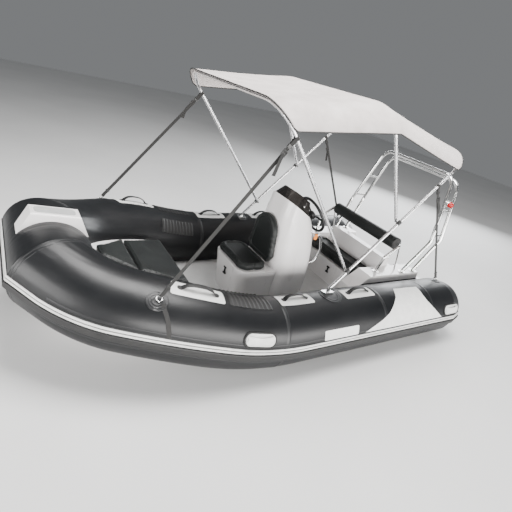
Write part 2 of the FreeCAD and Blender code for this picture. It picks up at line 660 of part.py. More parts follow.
# Rear bench: box with a locker, lid, cushion, bulkhead and the side wings beside the tubes.
box = newBody("rear_seat_box")
plan = outline(box, "XY_Plane", "BoxPlan", [
    (b.rear_seat_front, -b.rear_seat_half), (b.rear_seat_front, b.rear_seat_half),
    (b.rear_seat_back, b.rear_seat_half), (b.rear_seat_back, -b.rear_seat_half)], b.cockpit_level)
pad(box, plan, b.rear_seat_top - b.cockpit_level, "BoxPad")
inner = outline(box, "XY_Plane", "BoxInside", [
    (b.rear_seat_front - b.seat_wall, b.seat_wall - b.rear_seat_half),
    (b.rear_seat_front - b.seat_wall, b.rear_seat_half - b.seat_wall),
    (b.rear_seat_back + b.locker_ledge, b.rear_seat_half - b.seat_wall),
    (b.rear_seat_back + b.locker_ledge, b.seat_wall - b.rear_seat_half)], b.rear_seat_top)
pocket(box, inner, "BoxHollow", b.rear_seat_top - b.cockpit_level - b.locker_ledge)

lid = newBody("rear_seat_lid")
lidSketch = outline(lid, "XY_Plane", "LidPlan", [
    (b.rear_seat_front + 2, -b.rear_seat_half), (b.rear_seat_front + 2, b.rear_seat_half),
    (b.rear_seat_back + 4, b.rear_seat_half), (b.rear_seat_back + 4, -b.rear_seat_half)],
    b.rear_seat_top + b.running_clearance)
pad(lid, lidSketch, b.lid_thick, "LidPad")
bench = newBody("rear_seat_cushion")
benchSketch = outline(bench, "XY_Plane", "BenchPlan", [
    (b.rear_seat_front + 8, 4 - b.rear_seat_half), (b.rear_seat_front + 8, b.rear_seat_half - 4),
    (b.rear_seat_back + 4, b.rear_seat_half - 4), (b.rear_seat_back + 4, 4 - b.rear_seat_half)],
    b.rear_seat_top + b.running_clearance * 2 + b.lid_thick)
pad(bench, benchSketch, b.rear_cushion_thick, "BenchPad")

bulkhead = newBody("rear_bulkhead")
bulkProfile = outline(bulkhead, "XZ_Plane", "BulkheadProfile", [
    (b.rear_seat_back - b.seat_clearance, b.cockpit_level), (b.rear_seat_back - b.seat_clearance, b.rear_seat_top),
    (b.rear_seat_back - b.bulkhead_lean, b.bulkhead_top),
    (b.rear_seat_back - b.bulkhead_lean - b.bulkhead_thick, b.bulkhead_top),
    (b.rear_seat_back - b.bulkhead_lean - b.bulkhead_thick - b.bulkhead_rake, b.cockpit_level)])
pad(bulkhead, bulkProfile, b.rear_seat_half * 2, "BulkheadPad", middle=True)
wellFront = b.rear_seat_back - b.bulkhead_lean - b.bulkhead_thick - b.bulkhead_rake - b.seat_clearance
wellShare = (b.well_floor - b.cockpit_level) / (b.bulkhead_top - b.cockpit_level)
well = newBody("stern_well")
wellBack = b.transom_face + b.transom_thick + b.seat_clearance
wellProfile = outline(well, "XZ_Plane", "WellProfile", [
    (wellFront, b.cockpit_level), (wellFront + b.bulkhead_rake * wellShare, b.well_floor),
    (wellBack, b.well_floor - 15), (wellBack, b.cockpit_level)])
pad(well, wellProfile, b.rear_seat_half * 2, "WellPad", middle=True)

wing = doc.addObject("PartDesign::Body", "WingPort")
wingSection = outline(wing, "YZ_Plane", "WingSection", [
    (b.rear_seat_half + b.seat_clearance, b.cockpit_level), (b.rear_seat_half + b.seat_clearance, b.wing_level),
    (b.wing_outer, b.wing_level), (b.tube_spacing - b.tube_radius + 55, b.cockpit_level)], b.wing_back)
pad(wing, wingSection, b.wing_front - b.wing_back, "WingPad")
wingCircle = [(b.tube_spacing, b.tube_height, b.tube_radius + b.seat_clearance)]
tubeSeat = ring(wing, "YZ_Plane", "WingSeat", wingCircle, b.wing_back - 5)
pocket(wing, tubeSeat, "WingSeatCut", b.wing_front - b.wing_back + 10, back=True)
wingNose = outline(wing, "XZ_Plane", "WingNose", [
    (b.wing_front + 5, b.wing_nose_level), (b.wing_rise_end, b.wing_level), (b.wing_rise_end, b.wing_level + 50),
    (b.wing_front + 5, b.wing_level + 50)])
pocket(wing, wingNose, "WingNoseCut", b.tube_spacing * 2, middle=True)
wingTwin = doc.addObject("Part::Mirroring", "WingStarboard")
wingTwin.Source = wing
wingTwin.Base = V(0, 0, 0)
wingTwin.Normal = V(0, 1, 0)
wings = doc.addObject("Part::Compound", "stern_wings")
wings.Links = [wing, wingTwin]
keep(wings, "stern_wings")

# Rubber latches of the two seat lockers and the towing eye on the stem.


def latch(face, level):
    """T-shaped latch with its keeper, standing proud of a front face."""
    out = V(1, 0, 0)
    middle = V(face, 0, level)
    strip = slab(middle - out * 30, V(0, 0, 1), out, z.latch_length, z.latch_width * 0.6, 30 + z.latch_thick)
    heads = [slab(middle + V(0, 0, shift) - out * 30, V(0, 1, 0), out, z.latch_width * 1.6, 12, 32 + z.latch_thick)
             for shift in (z.latch_length / 2 - 6, 6 - z.latch_length / 2)]
    return strip.fuse(heads)


pedestalFace = z.front_seat_front - z.pedestal_rake * (z.front_seat_top - z.latch_level) / (
    z.front_seat_top - z.cockpit_level)
frontLatch = latch(pedestalFace, z.latch_level).cut(console).cut(seatHole)
rearLatch = latch(z.rear_seat_front + z.seat_clearance, z.latch_level - 70).cut(
    Part.makeBox(100, 400, 400, V(z.rear_seat_front + z.seat_clearance - 100, -200, 0)))
feature("seat_latches", Part.makeCompound([largest(frontLatch), largest(rearLatch)]))

stemLow = V(z.corner_along - z.corner_setback, 0, keelLow + z.corner_keel_rise)
stemHigh = V(z.stem_along, 0, z.corner_up - z.stem_keel_drop)
stemWay = (stemHigh - stemLow).normalize()
stemOut = V(0, 1, 0).cross(stemWay)
eyeAt = stemLow + (stemHigh - stemLow) * z.eye_share
eyePlate = slab(eyeAt - stemOut * z.eye_plate_width, stemWay, stemOut, z.eye_plate_length, z.eye_plate_width,
                z.eye_plate_width + z.eye_plate_thick)
eyeLoop = Part.makeTorus(z.eye_ring, z.eye_wire, eyeAt + stemOut * (z.eye_plate_thick + z.eye_ring * 0.7), V(0, 1, 0))
feature("bow_eye", largest(eyePlate.fuse(eyeLoop).cut(hull)))

transomLow = z.cockpit_level - z.sole_thick
earTop = z.transom_top + z.transom_ear
halfTransom = [(z.tube_spacing - z.transom_low_inset, transomLow), (z.tube_spacing - z.transom_top_inset, earTop),
               (z.ear_half, earTop), (z.motor_notch, z.transom_top)]
transomCorners = [V(z.transom_face, q, h) for q, h in halfTransom]
transomCorners += [V(p.x, -p.y, p.z) for p in reversed(transomCorners)]
transomShape = Part.Face(Part.makePolygon(transomCorners + [transomCorners[0]]))
transom = transomShape.extrude(V(z.transom_thick, 0, 0))
feature("transom", largest(clearOfCollar(transom)))

# Bolster roll and its stainless frame.
bolsterEnd = V(z.bolster_along, z.bolster_half, z.bolster_up)
feature("bolster", rod(V(z.bolster_along, -z.bolster_half, z.bolster_up), bolsterEnd, z.bolster_radius))
elbow = V(z.bolster_along, z.bolster_half + 38, z.bolster_up)
foot = V(z.bolster_foot_along, z.bolster_foot_out, z.wing_level + z.flange_thick + z.seat_clearance)
legBend = V(z.bolster_foot_along - 25, elbow.y, z.wing_level + 150)
leg = bentTube([bolsterEnd + V(0, z.seat_clearance, 0), elbow, legBend, foot], 34, z.rail_radius)
flange = rod(foot - V(0, 0, z.flange_thick), foot, z.flange_radius)
post = rod(V(z.bolster_along - 70, z.bolster_half + 30, z.wing_level + z.seat_clearance),
           V(z.bolster_along, z.bolster_half + 38, z.bolster_up - z.rail_radius * 0.4), z.bolster_post_radius)
underWings = upright([(z.transom_face, 0), (0, 0), (0, z.tube_spacing), (z.transom_face, z.tube_spacing)],
                     z.cockpit_level, z.wing_level + z.seat_clearance)
feature("bolster_frame", mirrored(leg.fuse(flange).fuse(post).cut(underWings)))

# Stern arch: two bent tubes tied by rungs, standing on the wings.


def archTube(shift, spread, lower):
    floor = z.wing_level + z.flange_thick + z.seat_clearance
    points = [V(z.arch_foot_along - shift, z.arch_foot_out, floor),
              V(z.arch_knee_along - shift, z.arch_knee_out - spread, z.arch_knee_up + lower * 0.2),
              V(z.arch_top_along - shift * 0.72, z.arch_top_out, z.arch_top_up - lower)]
    points += [V(p.x, -p.y, p.z) for p in reversed(points)]
    return points, bentTube(points, 110, z.arch_tube_radius)


frontPoints, frontArch = archTube(0, 0, 0)
aftPoints, aftArch = archTube(z.arch_gap, 12, 45)
arch = frontArch.fuse(aftArch)
for share in (0.1, 0.5):
    for sign in (1, -1):
        lowP = frontPoints[1] + (frontPoints[2] - frontPoints[1]) * share
        lowQ = aftPoints[1] + (aftPoints[2] - aftPoints[1]) * share
        arch = arch.fuse(rod(V(lowP.x, sign * lowP.y, lowP.z), V(lowQ.x, sign * lowQ.y, lowQ.z), z.rung_radius))
for points in (frontPoints, aftPoints):
    for sign in (1, -1):
        base = V(points[0].x, sign * points[0].y, z.wing_level + z.seat_clearance)
        arch = arch.fuse(rod(base, base + V(0, 0, z.flange_thick), z.flange_radius))
feature("stern_arch", arch)
lampAt = frontPoints[1] + (frontPoints[2] - frontPoints[1]) * z.lamp_share
lampWay = V(-0.2, 1, 0).normalize()
lensFoot = lampAt + lampWay * (z.arch_tube_radius + z.lamp_base)
lens = rod(lensFoot, lensFoot + lampWay * z.lamp_depth, z.lamp_radius)
lensRims = [edge for edge in lens.Edges if edge.BoundBox.Center.y > lensFoot.y + z.lamp_depth / 2]
lens = lens.makeFillet(z.lamp_radius * 0.6, [edge for edge in lensRims if len(edge.Vertexes) == 1])
lamp = lens.fuse(rod(lampAt, lensFoot, z.lamp_base_radius))
feature("stern_light", largest(lamp.cut(arch)))

# Bimini frame: main bow on deck mounts, middle and front bows hinged to it.
hinge = V(z.hinge_along, z.hinge_out, z.bimini_base_up)
mainTop = V(z.main_top_along, z.hinge_out, z.main_top_up)
mainWay = (mainTop - hinge).normalize()
insetOut = z.hinge_out - 2 * z.bow_tube_radius - 8


def onMain(along):
    return hinge + mainWay * ((along - hinge.x) / mainWay.x)


def bowHoop(start, top):
    points = [start, top, V(top.x, -top.y, top.z), V(start.x, -start.y, start.z)]
    return bentTube(points, z.crown_bend, z.bow_tube_radius)


middleHinge = V(onMain(z.middle_hinge_along).x, insetOut, onMain(z.middle_hinge_along).z)
frontHinge = V(onMain(z.front_hinge_along).x, insetOut, onMain(z.front_hinge_along).z)
middleTop = V(z.middle_top_along, insetOut, z.middle_top_up)
frontTop = V(z.front_top_along, insetOut, z.front_top_up)


def eyeEnd(centre, way, length):
    """Flat eye on the end of a bow, for the pin of its jaw."""
    across = V(0, z.eye_thick / 2, 0)
    tang = slab(centre + way * (length / 2) - across, way, V(0, 1, 0), length, 14, z.eye_thick)
    return tang.fuse(rod(centre - across, centre + across, 9))


def jaw(centre):
    """Clamp on the main bow with a pin that carries an inner bow."""
    ringOut = Part.makeCylinder(z.bow_tube_radius + 5, 34, V(centre.x, z.hinge_out, centre.z) - mainWay * 17, mainWay)
    bore = Part.makeCylinder(z.bow_tube_radius, 40, V(centre.x, z.hinge_out, centre.z) - mainWay * 20, mainWay)
    pin = rod(V(centre.x, z.hinge_out - z.bow_tube_radius - 2, centre.z), V(centre.x, centre.y - 7, centre.z), 4)
    head = rod(V(centre.x, centre.y - 4, centre.z), V(centre.x, centre.y - 7, centre.z), 8)
    return ringOut.cut(bore).fuse(pin).fuse(head)


pinHole = 4 + z.running_clearance
mainHoop = bowHoop(hinge + mainWay * 18, mainTop)
mainEye = mirrored(eyeEnd(hinge, mainWay, 24).cut(rod(hinge - V(0, 9, 0), hinge + V(0, 9, 0), pinHole)))
mainBow = mainHoop.fuse(mainEye.Solids)
feature("bimini_main_bow", mainBow)
feature("bimini_jaws", mirrored(jaw(middleHinge)).fuse(mirrored(jaw(frontHinge)).Solids))


def innerBow(start, top):
    way = (top - start).normalize()
    hoop = bowHoop(start + way * 18, top)
    eye = eyeEnd(start, way, 24).cut(rod(start - V(0, 9, 0), start + V(0, 9, 0), pinHole))
    return hoop.fuse(mirrored(eye).Solids)


feature("bimini_middle_bow", innerBow(middleHinge, middleTop))
feature("bimini_front_bow", innerBow(frontHinge, frontTop))

# Deck mounts of the bimini on the tube tops.


def onTube(along, tilt, radius):
    """Point and outward direction on the port tube, tilted outboard from its top."""
    centre = routeAt(along)
    ahead = routeAt(along + 5) if along + 5 < bendEnd.x else centre + headThree * 5
    way = (ahead - routeAt(along - 5)).normalize()
    side = V(0, 0, 1).cross(way).normalize()
    top = way.cross(side)
    angle = math.radians(tilt)
    out = side * math.sin(angle) + top * math.cos(angle)
    return centre + out * radius, out, way


skinAbove = sideForm(seatRadius + z.patch_thick + z.running_clearance)
patchSkin = sideForm(seatRadius + z.patch_thick).cut(sideSeat)


def patch(along, tilt, length, width, round_):
    """Thin pad that hugs the tube under a fitting."""
    point, out, way = onTube(along, tilt, z.tube_radius - 30)
    side = out.cross(way)
    if round_:
        tool = rod(point, point + out * 60, length / 2)
    else:
        tool = slab(point, way, out, length, width, 60)
    return largest(patchSkin.common(tool))


mountTilt = math.degrees(math.asin((z.hinge_out - z.tube_spacing) / z.tube_radius))
mountFoot, mountOut, _ = onTube(z.hinge_along, mountTilt, seatRadius + z.patch_thick + z.seat_clearance)
mountPad = patch(z.hinge_along, mountTilt + 8, 2 * z.mount_patch, 0, True)
mountBase = slab(mountFoot, V(1, 0, 0), mountOut, 84, 52, 10)
cheekIn = z.eye_thick / 2 + z.running_clearance
cheekPlate = slab(V(hinge.x, hinge.y + cheekIn, hinge.z - 20), V(1, 0, 0), V(0, 1, 0), 24, 40, 4)
cheekPlate = cheekPlate.fuse(rod(hinge + V(0, cheekIn, 0), hinge + V(0, cheekIn + 4, 0), 12))
cheekPair = [cheekPlate, cheekPlate.mirror(V(hinge.x, hinge.y, 0), V(0, 1, 0))]
mountPin = rod(hinge - V(0, 9, 0), hinge + V(0, 9, 0), 4)
mount = mountBase.fuse(cheekPair).fuse(mountPin).cut(skinAbove)
feature("bimini_mounts", mirrored(largest(mount)))
padTilts = [(z.grab_one, z.grab_one_tilt), (z.grab_two, z.grab_two_tilt), (z.grab_three, z.grab_three_tilt)]
pads = [patch(along, tilt, z.grab_pad_length, z.grab_pad_width, False) for along, tilt in padTilts]
feature("handle_pads", Part.makeCompound([s for p in pads for s in portAndStarboard(p)]))
rings = [(z.ring_along, z.ring_tilt), (z.aft_ring_along, z.aft_ring_tilt)]
ringPads = [patch(along, tilt, 2 * reach, 0, True)
            for (along, tilt), reach in zip(rings, (z.ring_patch, z.aft_ring_patch))]
feature("patches", Part.makeCompound([s for p in ringPads + [mountPad] for s in portAndStarboard(p)]))


def grabHandle(along, tilt):
    """Rubber handle: a raised bar of flat section between two feet, each lying along the tube."""
    level = seatRadius + z.patch_thick + z.running_clearance
    middle, out, way = onTube(along, tilt, level)
    half = z.grab_length / 2
    side = out.cross(way).normalize()
    ends = []
    feet = []
    for sign in (-1, 1):
        spot, rise, run = onTube(along + sign * (half + z.grab_foot_reach) * way.x, tilt, level)
        end = spot - run * sign * z.grab_foot_reach + rise
        ends.append(end - side * side.dot(end - middle))
        feet.append(slab(spot, run, rise, z.grab_foot_length, z.grab_width + 8, z.grab_foot_thick))
    knees = [middle + way * sign * (half - z.grab_ramp) + out * z.grab_height for sign in (-1, 1)]
    inner = [p - out * z.grab_thick for p in knees]
    slope = way * z.grab_thick
    ribbon = Part.makePolygon([ends[0], knees[0], knees[1], ends[1], ends[1] - slope * 1.4,
                               inner[1] - slope * 0.6, inner[0] + slope * 0.6, ends[0] + slope * 1.4, ends[0]])
    bar = Part.Face(ribbon).extrude(side * z.grab_width)
    bar.translate(side * (-z.grab_width / 2))
    return bar.fuse(feet)


grips = [grabHandle(along, tilt) for along, tilt in padTilts]
feature("grab_handles", Part.makeCompound([s for p in grips for s in portAndStarboard(p)]))


def liftHandle(along):
    """Moulded carrying handle: an oval bezel with a bar across its recess."""
    point, out, way = onTube(along, z.lift_tilt, z.tube_radius - 30)
    side = out.cross(way).normalize()
    half, wide = z.lift_length / 2, z.lift_width / 2

    def oval(h, w, low, high):
        ends = [rod(point + way * sign * (h - w) + out * low, point + way * sign * (h - w) + out * high, w)
                for sign in (1, -1)]
        return slab(point + out * low, way, out, 2 * (h - w), 2 * w, high - low).fuse(ends)
    bezel = oval(half, wide, 0, 30 + z.lift_thick).cut(oval(half - 16, wide - 16, -10, 60))
    grip = slab(point + out * (30 + z.lift_thick - 9), way, out, 2 * half - 30, z.grip_bar, 8)
    whole = bezel.fuse(grip)
    return largest(whole.cut(sideSeat))


lifts = [liftHandle(along) for along in (z.lift_mid, z.lift_aft)]
feature("lifting_handles", Part.makeCompound([s for p in lifts for s in portAndStarboard(p)]))


def eyeRing(along, tilt, target):
    point, out, way = onTube(along, tilt, seatRadius + z.patch_thick + z.seat_clearance)
    pull = (target - point).normalize()
    across = pull.cross(out).normalize()
    keeper = rod(point - across * 14 + out * 4.2, point + across * 14 + out * 4.2, 4)
    centre = point + out * 4.2 + pull * z.ring_inner
    loop = Part.makeTorus(z.ring_inner, z.ring_wire, centre, across.cross(pull))
    return keeper.fuse(loop), centre + pull * z.ring_inner


def strapBetween(start, end):
    way = end - start
    across = V(0, 1, 0).cross(way).normalize()
    low = start + way * 0.5 - across * (z.strap_thick / 2)
    return slab(low, way, across, way.Length, z.strap_width, z.strap_thick)


frontWay = (frontTop - frontHinge).normalize()
frontEye = frontTop - frontWay * (z.crown_bend + z.strap_setback)
aftEye = mainTop - mainWay * (z.crown_bend + z.aft_strap_setback)
frontRing, frontLink = eyeRing(z.ring_along, z.ring_tilt, frontEye)
aftRing, aftLink = eyeRing(z.aft_ring_along, z.aft_ring_tilt, aftEye)
feature("d_rings", Part.makeCompound([s for p in (frontRing, aftRing) for s in portAndStarboard(p)]))


def tautStrap(link, eye, alongBow):
    """Flat strap from a ring to the outside of a bow's leg."""
    way = (eye - link).normalize()
    band = strapBetween(link + way * (z.ring_wire + z.running_clearance), eye)
    leg = rod(eye - alongBow * 100, eye + alongBow * 9, z.bow_tube_radius + z.running_clearance)
    return largest(band.cut(leg))


feature("front_straps", mirrored(tautStrap(frontLink, frontEye, frontWay)))
feature("aft_straps", mirrored(tautStrap(aftLink, aftEye, mainWay)))

# Canopy: a thin cloth skin over the three bows, with the sides turned down.


def canopySection(top, way, half, grow, ahead):
    """Closed band in a bow's own plane: outer and inner line of the cloth."""
    lift = z.bow_tube_radius + z.canopy_ride + grow
    wide = half + z.bow_tube_radius + z.canopy_ride + grow
    across = V(0, 1, 0)

    def at(q, h):
        return V(top.x, 0, top.z) + across * q + way * h + ahead
    bend = z.crown_bend + lift
    reach = bend / math.cos(math.radians(15))
    centre = (wide - bend, lift - bend)
    turns = [math.radians(turn) for turn in (15, 45, 75)]
    side = [(wide, -z.canopy_drop)]
    side += [(centre[0] + reach * math.cos(turn), centre[1] + reach * math.sin(turn)) for turn in turns]
    right = [at(q, rise) for q, rise in side]
    left = [at(-q, rise) for q, rise in side]
    return right + left[::-1]


def canopyRing(top, way, half, ahead):
    outer = canopySection(top, way, half, z.canopy_thick, ahead)
    inner = canopySection(top, way, half, 0, ahead)
    points = outer + inner[::-1]
    return Part.makePolygon(points + [points[0]])


middleWay = (middleTop - middleHinge).normalize()
canopyHalf = z.hinge_out
stationsUp = [canopyRing(frontTop, frontWay, canopyHalf, V(z.canopy_overhang, 0, 0)),
              canopyRing(middleTop, middleWay, canopyHalf, V(0, 0, 0)),
              canopyRing(mainTop, mainWay, canopyHalf, V(-z.canopy_overhang, 0, 0))]
canopy = Part.makeLoft(stationsUp[:2], True, True).fuse(Part.makeLoft(stationsUp[1:], True, True))
feature("canopy", canopy)

doc.recompute()
for label, obj in nodes.items():
    bad = [word for word in obj.State if word in ("Invalid", "Error")]
    if bad or obj.Shape.isNull() or not obj.Shape.isValid():
        raise RuntimeError("%s is not sound: %s" % (label, obj.State))
for label, obj in nodes.items():
    obj.Shape.exportStep("parts/%s.step" % label)
    box = obj.Shape.BoundBox
    print("%-22s %2d solids %9.0f cm3  %6.0f %6.0f %6.0f  %6.0f %6.0f %6.0f" % (
        label, len(obj.Shape.Solids), obj.Shape.Volume / 1000, box.XMin, box.YMin, box.ZMin, box.XMax, box.YMax, box.ZMax))
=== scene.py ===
# Inflatable boat with a jockey console, stern arch and folding sun canopy: its finishes,
# soft goods and small fittings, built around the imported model.
import bpy
import bmesh
import math
import numpy as np
from mathutils import Matrix, Quaternion, Vector, noise
from mathutils.bvhtree import BVHTree


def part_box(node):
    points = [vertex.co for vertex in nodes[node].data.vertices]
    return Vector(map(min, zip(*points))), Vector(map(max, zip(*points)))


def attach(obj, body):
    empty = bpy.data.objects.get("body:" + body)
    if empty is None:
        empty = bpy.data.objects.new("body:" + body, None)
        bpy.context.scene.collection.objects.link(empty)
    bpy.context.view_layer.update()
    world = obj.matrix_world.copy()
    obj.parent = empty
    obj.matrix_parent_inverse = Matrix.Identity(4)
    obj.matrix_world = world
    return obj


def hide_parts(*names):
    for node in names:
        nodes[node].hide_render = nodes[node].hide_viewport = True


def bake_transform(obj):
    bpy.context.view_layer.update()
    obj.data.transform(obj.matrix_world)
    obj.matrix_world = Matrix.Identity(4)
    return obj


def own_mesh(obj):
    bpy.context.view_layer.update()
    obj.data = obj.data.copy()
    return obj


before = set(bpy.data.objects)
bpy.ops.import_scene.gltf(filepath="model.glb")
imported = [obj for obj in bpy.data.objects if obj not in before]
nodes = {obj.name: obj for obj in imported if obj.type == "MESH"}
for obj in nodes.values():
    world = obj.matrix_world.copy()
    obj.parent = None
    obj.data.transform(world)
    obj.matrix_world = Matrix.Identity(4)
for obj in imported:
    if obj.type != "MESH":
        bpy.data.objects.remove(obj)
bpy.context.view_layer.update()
print("frame loaded:", len(nodes), "nodes")

# The camera stands where the photograph was taken from.
view = {"place": (1.8664, 2.3952, 1.8096), "yaw": -127.10, "pitch": 24.94, "roll": 15.03,
        "focal": 402.2, "frame": 512.0}


def aimCamera():
    yaw, pitch, roll = (math.radians(view[key]) for key in ("yaw", "pitch", "roll"))
    ahead = Vector((math.cos(pitch) * math.cos(yaw), math.cos(pitch) * math.sin(yaw), -math.sin(pitch)))
    right = ahead.cross(Vector((0, 0, 1))).normalized()
    up = right.cross(ahead)
    across = right * math.cos(roll) + up * math.sin(roll)
    rise = up * math.cos(roll) - right * math.sin(roll)
    camera = bpy.data.objects.new("photoView", bpy.data.cameras.new("photoView"))
    bpy.context.scene.collection.objects.link(camera)
    turn = Matrix((across, rise, -ahead)).transposed()
    camera.matrix_world = Matrix.Translation(view["place"]) @ turn.to_4x4()
    camera.data.sensor_width = 36.0
    camera.data.lens = view["focal"] / view["frame"] * 36.0
    camera.data.clip_start = 0.05
    camera.data.clip_end = 60.0
    bpy.context.scene.camera = camera


lamps = {
    "portWall": {"place": (-0.4, 6.6, 1.25), "aim": (0.2, 0.6, 0.2), "size": (9.0, 1.7), "power": 980.0,
                 "tint": (1.0, 0.985, 0.97)},
    "roof": {"place": (0.2, 0.2, 4.8), "aim": (0.0, 0.0, 0.0), "size": (3.4, 2.4), "power": 540.0,
             "tint": (1.0, 0.99, 0.98)},
    "sternWall": {"place": (-5.4, -2.6, 2.0), "aim": (-0.4, 0.0, 0.4), "size": (4.0, 2.2), "power": 280.0,
                  "tint": (0.96, 0.98, 1.0)},
    "bowFill": {"place": (5.0, 1.2, 1.4), "aim": (0.6, 0.0, 0.4), "size": (3.4, 1.5), "power": 230.0,
                "tint": (1.0, 0.99, 0.98)},
}
room = {"tint": (0.66, 0.68, 0.70), "strength": 0.30}


def hangLamps():
    for name, lamp in lamps.items():
        light = bpy.data.lights.new(name, "AREA")
        light.shape = "RECTANGLE"
        light.size, light.size_y = lamp["size"]
        light.energy = lamp["power"]
        light.color = lamp["tint"]
        holder = bpy.data.objects.new(name, light)
        bpy.context.scene.collection.objects.link(holder)
        place = Vector(lamp["place"])
        aim = (Vector(lamp["aim"]) - place).to_track_quat("-Z", "Y")
        holder.matrix_world = Matrix.Translation(place) @ aim.to_matrix().to_4x4()
    world = bpy.data.worlds.new("softRoom")
    world.use_nodes = True
    background = world.node_tree.nodes["Background"]
    background.inputs["Color"].default_value = (*room["tint"], 1.0)
    background.inputs["Strength"].default_value = room["strength"]
    bpy.context.scene.world = world


def socketOf(value):
    return isinstance(value, bpy.types.NodeSocket)


def addNode(tree, kind, inputs=None, **settings):
    made = tree.nodes.new("ShaderNode" + kind)
    for key, value in settings.items():
        setattr(made, key, value)
    for key, value in (inputs or {}).items():
        if socketOf(value):
            tree.links.new(value, made.inputs[key])
        else:
            made.inputs[key].default_value = value
    return made


def startFinish(name, **constant):
    material = bpy.data.materials.new(name)
    material.use_nodes = True
    tree = material.node_tree
    shader = tree.nodes["Principled BSDF"]
    for key, value in constant.items():
        shader.inputs[key].default_value = value
    return material, tree, shader


def boatPlace(tree, stretch=(1.0, 1.0, 1.0)):
    where = addNode(tree, "TexCoord")
    return addNode(tree, "Mapping", {"Vector": where.outputs["Object"], "Scale": stretch}).outputs["Vector"]


def cloudy(tree, place, scale, detail=4.0, rough=0.55):
    return addNode(tree, "TexNoise", {"Vector": place, "Scale": scale, "Detail": detail,
                                      "Roughness": rough}).outputs["Fac"]


def between(tree, amount, low, high, first=0.3, last=0.7):
    ranged = addNode(tree, "MapRange", {"Value": amount, "From Min": first, "From Max": last,
                                        "To Min": low, "To Max": high})
    return ranged.outputs["Result"]


def tinted(tree, amount, dark, light, first=0.35, last=0.65):
    ramp = addNode(tree, "ValToRGB", {"Fac": amount})
    ramp.color_ramp.elements[0].position = first
    ramp.color_ramp.elements[0].color = (*dark, 1.0)
    ramp.color_ramp.elements[1].position = last
    ramp.color_ramp.elements[1].color = (*light, 1.0)
    return ramp.outputs["Color"]


def raised(tree, height, distance, strength=1.0, under=None):
    inputs = {"Height": height, "Distance": distance, "Strength": strength}
    if under is not None:
        inputs["Normal"] = under
    return addNode(tree, "Bump", inputs).outputs["Normal"]


def join(tree, shader, **sockets):
    for key, value in sockets.items():
        tree.links.new(value, shader.inputs[key.replace("_", " ")])


def tubeFabricFinish():
    material, tree, shader = startFinish("tubeFabric", **{"Specular IOR Level": 0.34, "Coat Weight": 0.10,
                                                          "Coat Roughness": 0.24})
    place = boatPlace(tree)
    soft = cloudy(tree, place, 2.2, 5.0)
    dust = cloudy(tree, boatPlace(tree, (1.0, 1.0, 3.0)), 9.0, 8.0, 0.7)
    grain = cloudy(tree, place, 1400.0, 2.0)
    slack = cloudy(tree, boatPlace(tree, (0.6, 1.4, 1.4)), 7.0, 3.0)
    join(tree, shader,
         Base_Color=tinted(tree, dust, (0.0030, 0.0034, 0.0042), (0.0068, 0.0074, 0.0084), 0.3, 0.8),
         Roughness=between(tree, soft, 0.34, 0.47),
         Normal=raised(tree, grain, 0.0001, 0.35, raised(tree, slack, 0.004, 0.35)))
    return material


def gelcoatFinish():
    material, tree, shader = startFinish("gelcoat", **{"Coat Weight": 0.7, "Coat Roughness": 0.08,
                                                       "Specular IOR Level": 0.5})
    place = boatPlace(tree)
    veil = cloudy(tree, place, 3.0, 6.0, 0.6)
    smear = cloudy(tree, boatPlace(tree, (1.0, 1.0, 0.3)), 14.0, 6.0, 0.65)
    peel = cloudy(tree, place, 160.0, 2.0)
    join(tree, shader,
         Base_Color=tinted(tree, veil, (0.82, 0.80, 0.79), (0.88, 0.86, 0.855), 0.3, 0.62),
         Roughness=between(tree, smear, 0.24, 0.40),
         Normal=raised(tree, peel, 0.0003, 0.18))
    return material


def soleFinish():
    material, tree, shader = startFinish("nonSlipSole", **{"Specular IOR Level": 0.35})
    place = boatPlace(tree)
    stain = cloudy(tree, place, 5.0, 8.0, 0.7)
    pebble = addNode(tree, "TexVoronoi", {"Vector": place, "Scale": 330.0}).outputs["Distance"]
    join(tree, shader,
         Base_Color=tinted(tree, stain, (0.56, 0.565, 0.56), (0.68, 0.68, 0.67), 0.3, 0.7),
         Roughness=between(tree, stain, 0.55, 0.75),
         Normal=raised(tree, pebble, 0.0012, 0.7))
    return material


def vinylFinish():
    material, tree, shader = startFinish("marineVinyl", **{"Specular IOR Level": 0.4, "Coat Weight": 0.06,
                                                           "Coat Roughness": 0.35})
    place = boatPlace(tree)
    cells = addNode(tree, "TexVoronoi", {"Vector": place, "Scale": 520.0}, feature="DISTANCE_TO_EDGE")
    pores = cloudy(tree, place, 900.0, 3.0)
    worn = cloudy(tree, place, 7.0, 7.0, 0.65)
    creased = between(tree, cells.outputs["Distance"], 0.0, 1.0, 0.0, 0.16)
    join(tree, shader,
         Base_Color=tinted(tree, worn, (0.0062, 0.0076, 0.0074), (0.0130, 0.0158, 0.0150), 0.3, 0.75),
         Roughness=between(tree, worn, 0.40, 0.56),
         Normal=raised(tree, pores, 0.0002, 0.3, raised(tree, creased, 0.0004, 0.45)))
    return material


def steelFinish(name, tint, low, high, brush):
    material, tree, shader = startFinish(name, Metallic=1.0)
    place = boatPlace(tree)
    film = cloudy(tree, place, 26.0, 5.0, 0.6)
    fine = cloudy(tree, boatPlace(tree, (1.0, 1.0, 6.0)), 420.0, 3.0)
    dull = tuple(0.86 * part for part in tint)
    join(tree, shader,
         Base_Color=tinted(tree, film, dull, tint, 0.3, 0.6),
         Roughness=between(tree, film, low, high),
         Normal=raised(tree, fine, 0.00005, brush))
    return material


def mouldedFinish(name, dark, light, low, high, grain=0.3, scale=700.0):
    material, tree, shader = startFinish(name, **{"Coat Weight": 0.0, "Coat Roughness": 0.2})
    place = boatPlace(tree)
    tone = cloudy(tree, place, 18.0, 6.0, 0.6)
    spark = cloudy(tree, place, scale, 3.0)
    join(tree, shader,
         Base_Color=tinted(tree, tone, dark, light, 0.3, 0.7),
         Roughness=between(tree, tone, low, high),
         Normal=raised(tree, spark, 0.0002, grain))
    return material


